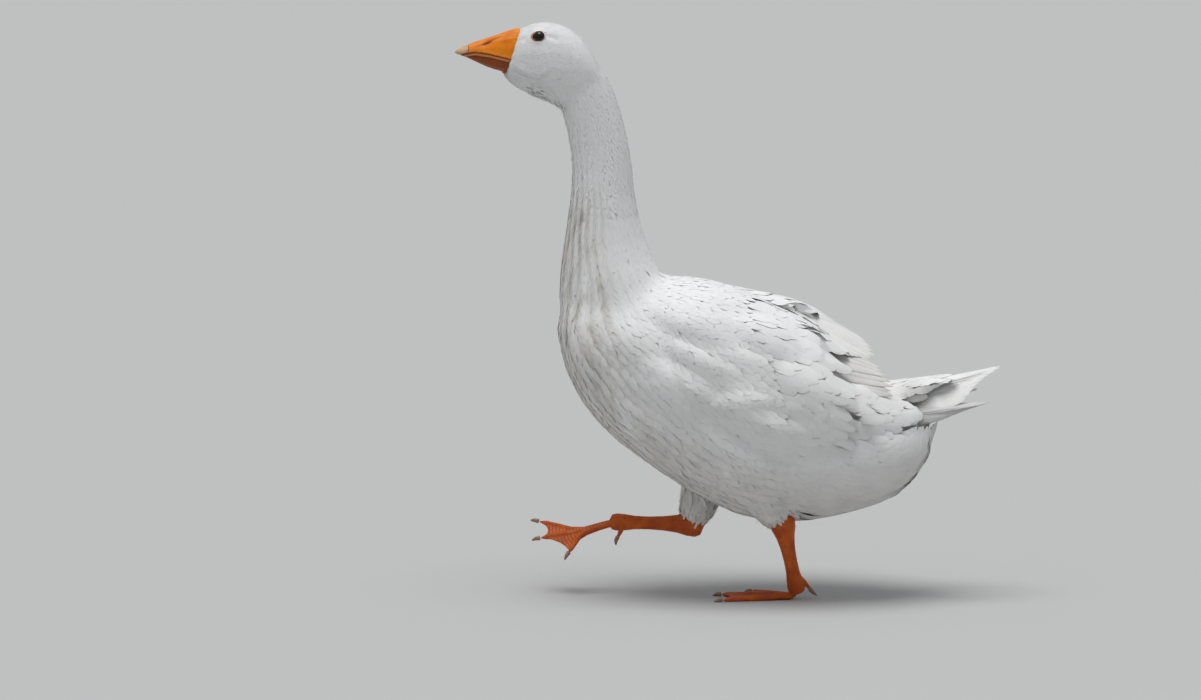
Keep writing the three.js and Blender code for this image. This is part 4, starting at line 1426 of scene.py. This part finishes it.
class GooseLook(PropertyGroup):
    """Colours of the goose."""

    plumage: colour("Plumage", "Clean feather tips", (0.84, 0.84, 0.835))
    downy: colour("Downy base", "Feathers near their roots", (0.78, 0.78, 0.775))
    # the tan and grey of dirt, which on the underside also paint shade
    soil_and_shade: colour("Soil", "Tan stain on the plumage", (0.47, 0.40, 0.30))
    grey: colour("Grey soil", "Grey stain on the plumage", (0.46, 0.45, 0.42))
    # also painted shade along the rims of the long feathers
    dark_streak: colour("Dark streak", "Dark tufts on the throat", (0.05, 0.05, 0.045))
    bill: colour("Bill", "Upper bill", (0.88, 0.265, 0.002))
    bill_shade: colour("Bill shade", "Darker clouds of the upper bill", (0.72, 0.17, 0.003))
    bill_pale: colour("Bill edge", "Pale rolled edge of the bill", (0.70, 0.29, 0.07))
    # painted shade in the nostrils, the grooves, along the mouth and at the nail's seam
    bill_line: colour("Bill line", "Nostril and grooves", (0.20, 0.030, 0.010))
    lower_bill: colour("Lower bill", "Lower bill", (0.30, 0.062, 0.006))
    nail: colour("Nail", "Nail at the bill's tip", (0.60, 0.38, 0.215))
    # both oranges of the legs are a little darker than clean skin, as painted shade
    leg: colour("Leg", "Legs and feet", (0.64, 0.125, 0.005))
    leg_dark: colour("Leg shade", "Darker clouds of legs and feet", (0.44, 0.062, 0.004))
    lid: colour("Eyelid", "Bare rim of the eye", (0.34, 0.115, 0.04))
    lid_corner: colour("Eye corner", "Front corner of the eye", (0.82, 0.27, 0.05))
    eye: colour("Eye", "Iris", (0.016, 0.007, 0.003))
    horn: colour("Horn", "Claws", (0.34, 0.20, 0.125))


class GooseCoat(PropertyGroup):
    """How the plumage lies."""

    room_scale: FloatProperty(
        name="Room", description="Room of each feather, as a share", default=1.0, min=0.5, max=3
    )
    furrow: FloatProperty(
        name="Furrows", description="Depth of the furrows down neck and breast", default=0.0013,
        min=0, max=0.004, unit="LENGTH", subtype="DISTANCE",
    )
    seed: IntProperty(name="Seed", description="Another spread of the same plumage", default=7, min=0)


class GooseStage(PropertyGroup):
    """Floor, light and camera."""

    floor: colour("Floor", "Floor", (0.47, 0.47, 0.465))
    sky: colour("Sky", "Light from all round", (0.94, 0.97, 1.0))
    sky_strength: FloatProperty(
        name="Sky light", description="Strength of the light all round", default=0.36, min=0
    )
    over_power: FloatProperty(name="Top light", description="Strength of the light above", default=2.1, min=0)
    front_power: FloatProperty(
        name="Front light", description="Strength of the light in front", default=0.08, min=0
    )
    exposure: FloatProperty(name="Exposure", description="Stops of exposure", default=0.0)
    lens: FloatProperty(name="Lens", description="Focal length in millimetres", default=199.03, min=10)
    camera_distance: FloatProperty(
        name="Distance", description="Camera to the middle of the view", default=8.3, min=1,
        unit="LENGTH", subtype="DISTANCE",
    )
    camera_tilt: FloatProperty(
        name="Tilt", description="How far the camera looks down", default=math.radians(7), subtype="ANGLE"
    )
    camera_target: FloatVectorProperty(
        name="Target", description="Middle of the view", default=(-0.1604, 0.0, 0.3130), subtype="XYZ",
        unit="LENGTH",
    )


class GOOSE_OT_skin(Operator):
    """Build the skin with legs, feet and eyelids"""

    bl_idname = "goose.skin"
    bl_label = "Skin"

    def execute(self, context):
        shape_goose()
        build_skin(context.scene.goose_look)
        return {"FINISHED"}


class GOOSE_OT_coat(Operator):
    """Build the small feathers of head, neck, body and thighs"""

    bl_idname = "goose.coat"
    bl_label = "Body feathers"

    def execute(self, context):
        build_coat(context.scene.goose_look, context.scene.goose_coat)
        return {"FINISHED"}


class GOOSE_OT_long_feathers(Operator):
    """Build the long feathers of wings and tail"""

    bl_idname = "goose.long_feathers"
    bl_label = "Flight and tail feathers"

    def execute(self, context):
        for number, name in enumerate(BUNDLES):
            bundle_feathers(name, context.scene.goose_look, 100 + number)
        return {"FINISHED"}


class GOOSE_OT_bill(Operator):
    """Build the bill and its nail"""

    bl_idname = "goose.bill"
    bl_label = "Bill"

    def execute(self, context):
        build_bill(context.scene.goose_look)
        return {"FINISHED"}


class GOOSE_OT_eyes(Operator):
    """Build both eyes"""

    bl_idname = "goose.eyes"
    bl_label = "Eyes"

    def execute(self, context):
        build_eyes(context.scene.goose_look)
        return {"FINISHED"}


class GOOSE_OT_claws(Operator):
    """Build the claws"""

    bl_idname = "goose.claws"
    bl_label = "Claws"

    def execute(self, context):
        build_claws(context.scene.goose_look)
        return {"FINISHED"}


class GOOSE_OT_stage(Operator):
    """Build floor, lights and camera"""

    bl_idname = "goose.stage"
    bl_label = "Stage"

    def execute(self, context):
        build_stage(context.scene.goose_stage)
        return {"FINISHED"}


STEPS = (
    GOOSE_OT_skin, GOOSE_OT_coat, GOOSE_OT_long_feathers, GOOSE_OT_bill, GOOSE_OT_eyes, GOOSE_OT_claws,
    GOOSE_OT_stage,
)


class GOOSE_PT_build(Panel):
    """Lists the steps that build the goose"""

    bl_label = "Goose"
    bl_space_type = "VIEW_3D"
    bl_region_type = "UI"
    bl_category = "Goose"

    def draw(self, context):
        for step in STEPS:
            self.layout.operator(step.bl_idname)


CLASSES = (GooseLook, GooseCoat, GooseStage, *STEPS, GOOSE_PT_build)


def register():
    for made in CLASSES:
        bpy.utils.register_class(made)
    bpy.types.Scene.goose_look = PointerProperty(type=GooseLook)
    bpy.types.Scene.goose_coat = PointerProperty(type=GooseCoat)
    bpy.types.Scene.goose_stage = PointerProperty(type=GooseStage)


def unregister():
    del bpy.types.Scene.goose_stage, bpy.types.Scene.goose_coat, bpy.types.Scene.goose_look
    for made in reversed(CLASSES):
        bpy.utils.unregister_class(made)


def main():
    register()
    for step in STEPS:
        group, name = step.bl_idname.split(".")
        getattr(getattr(bpy.ops, group), name)()


if __name__ == "__main__":
    main()
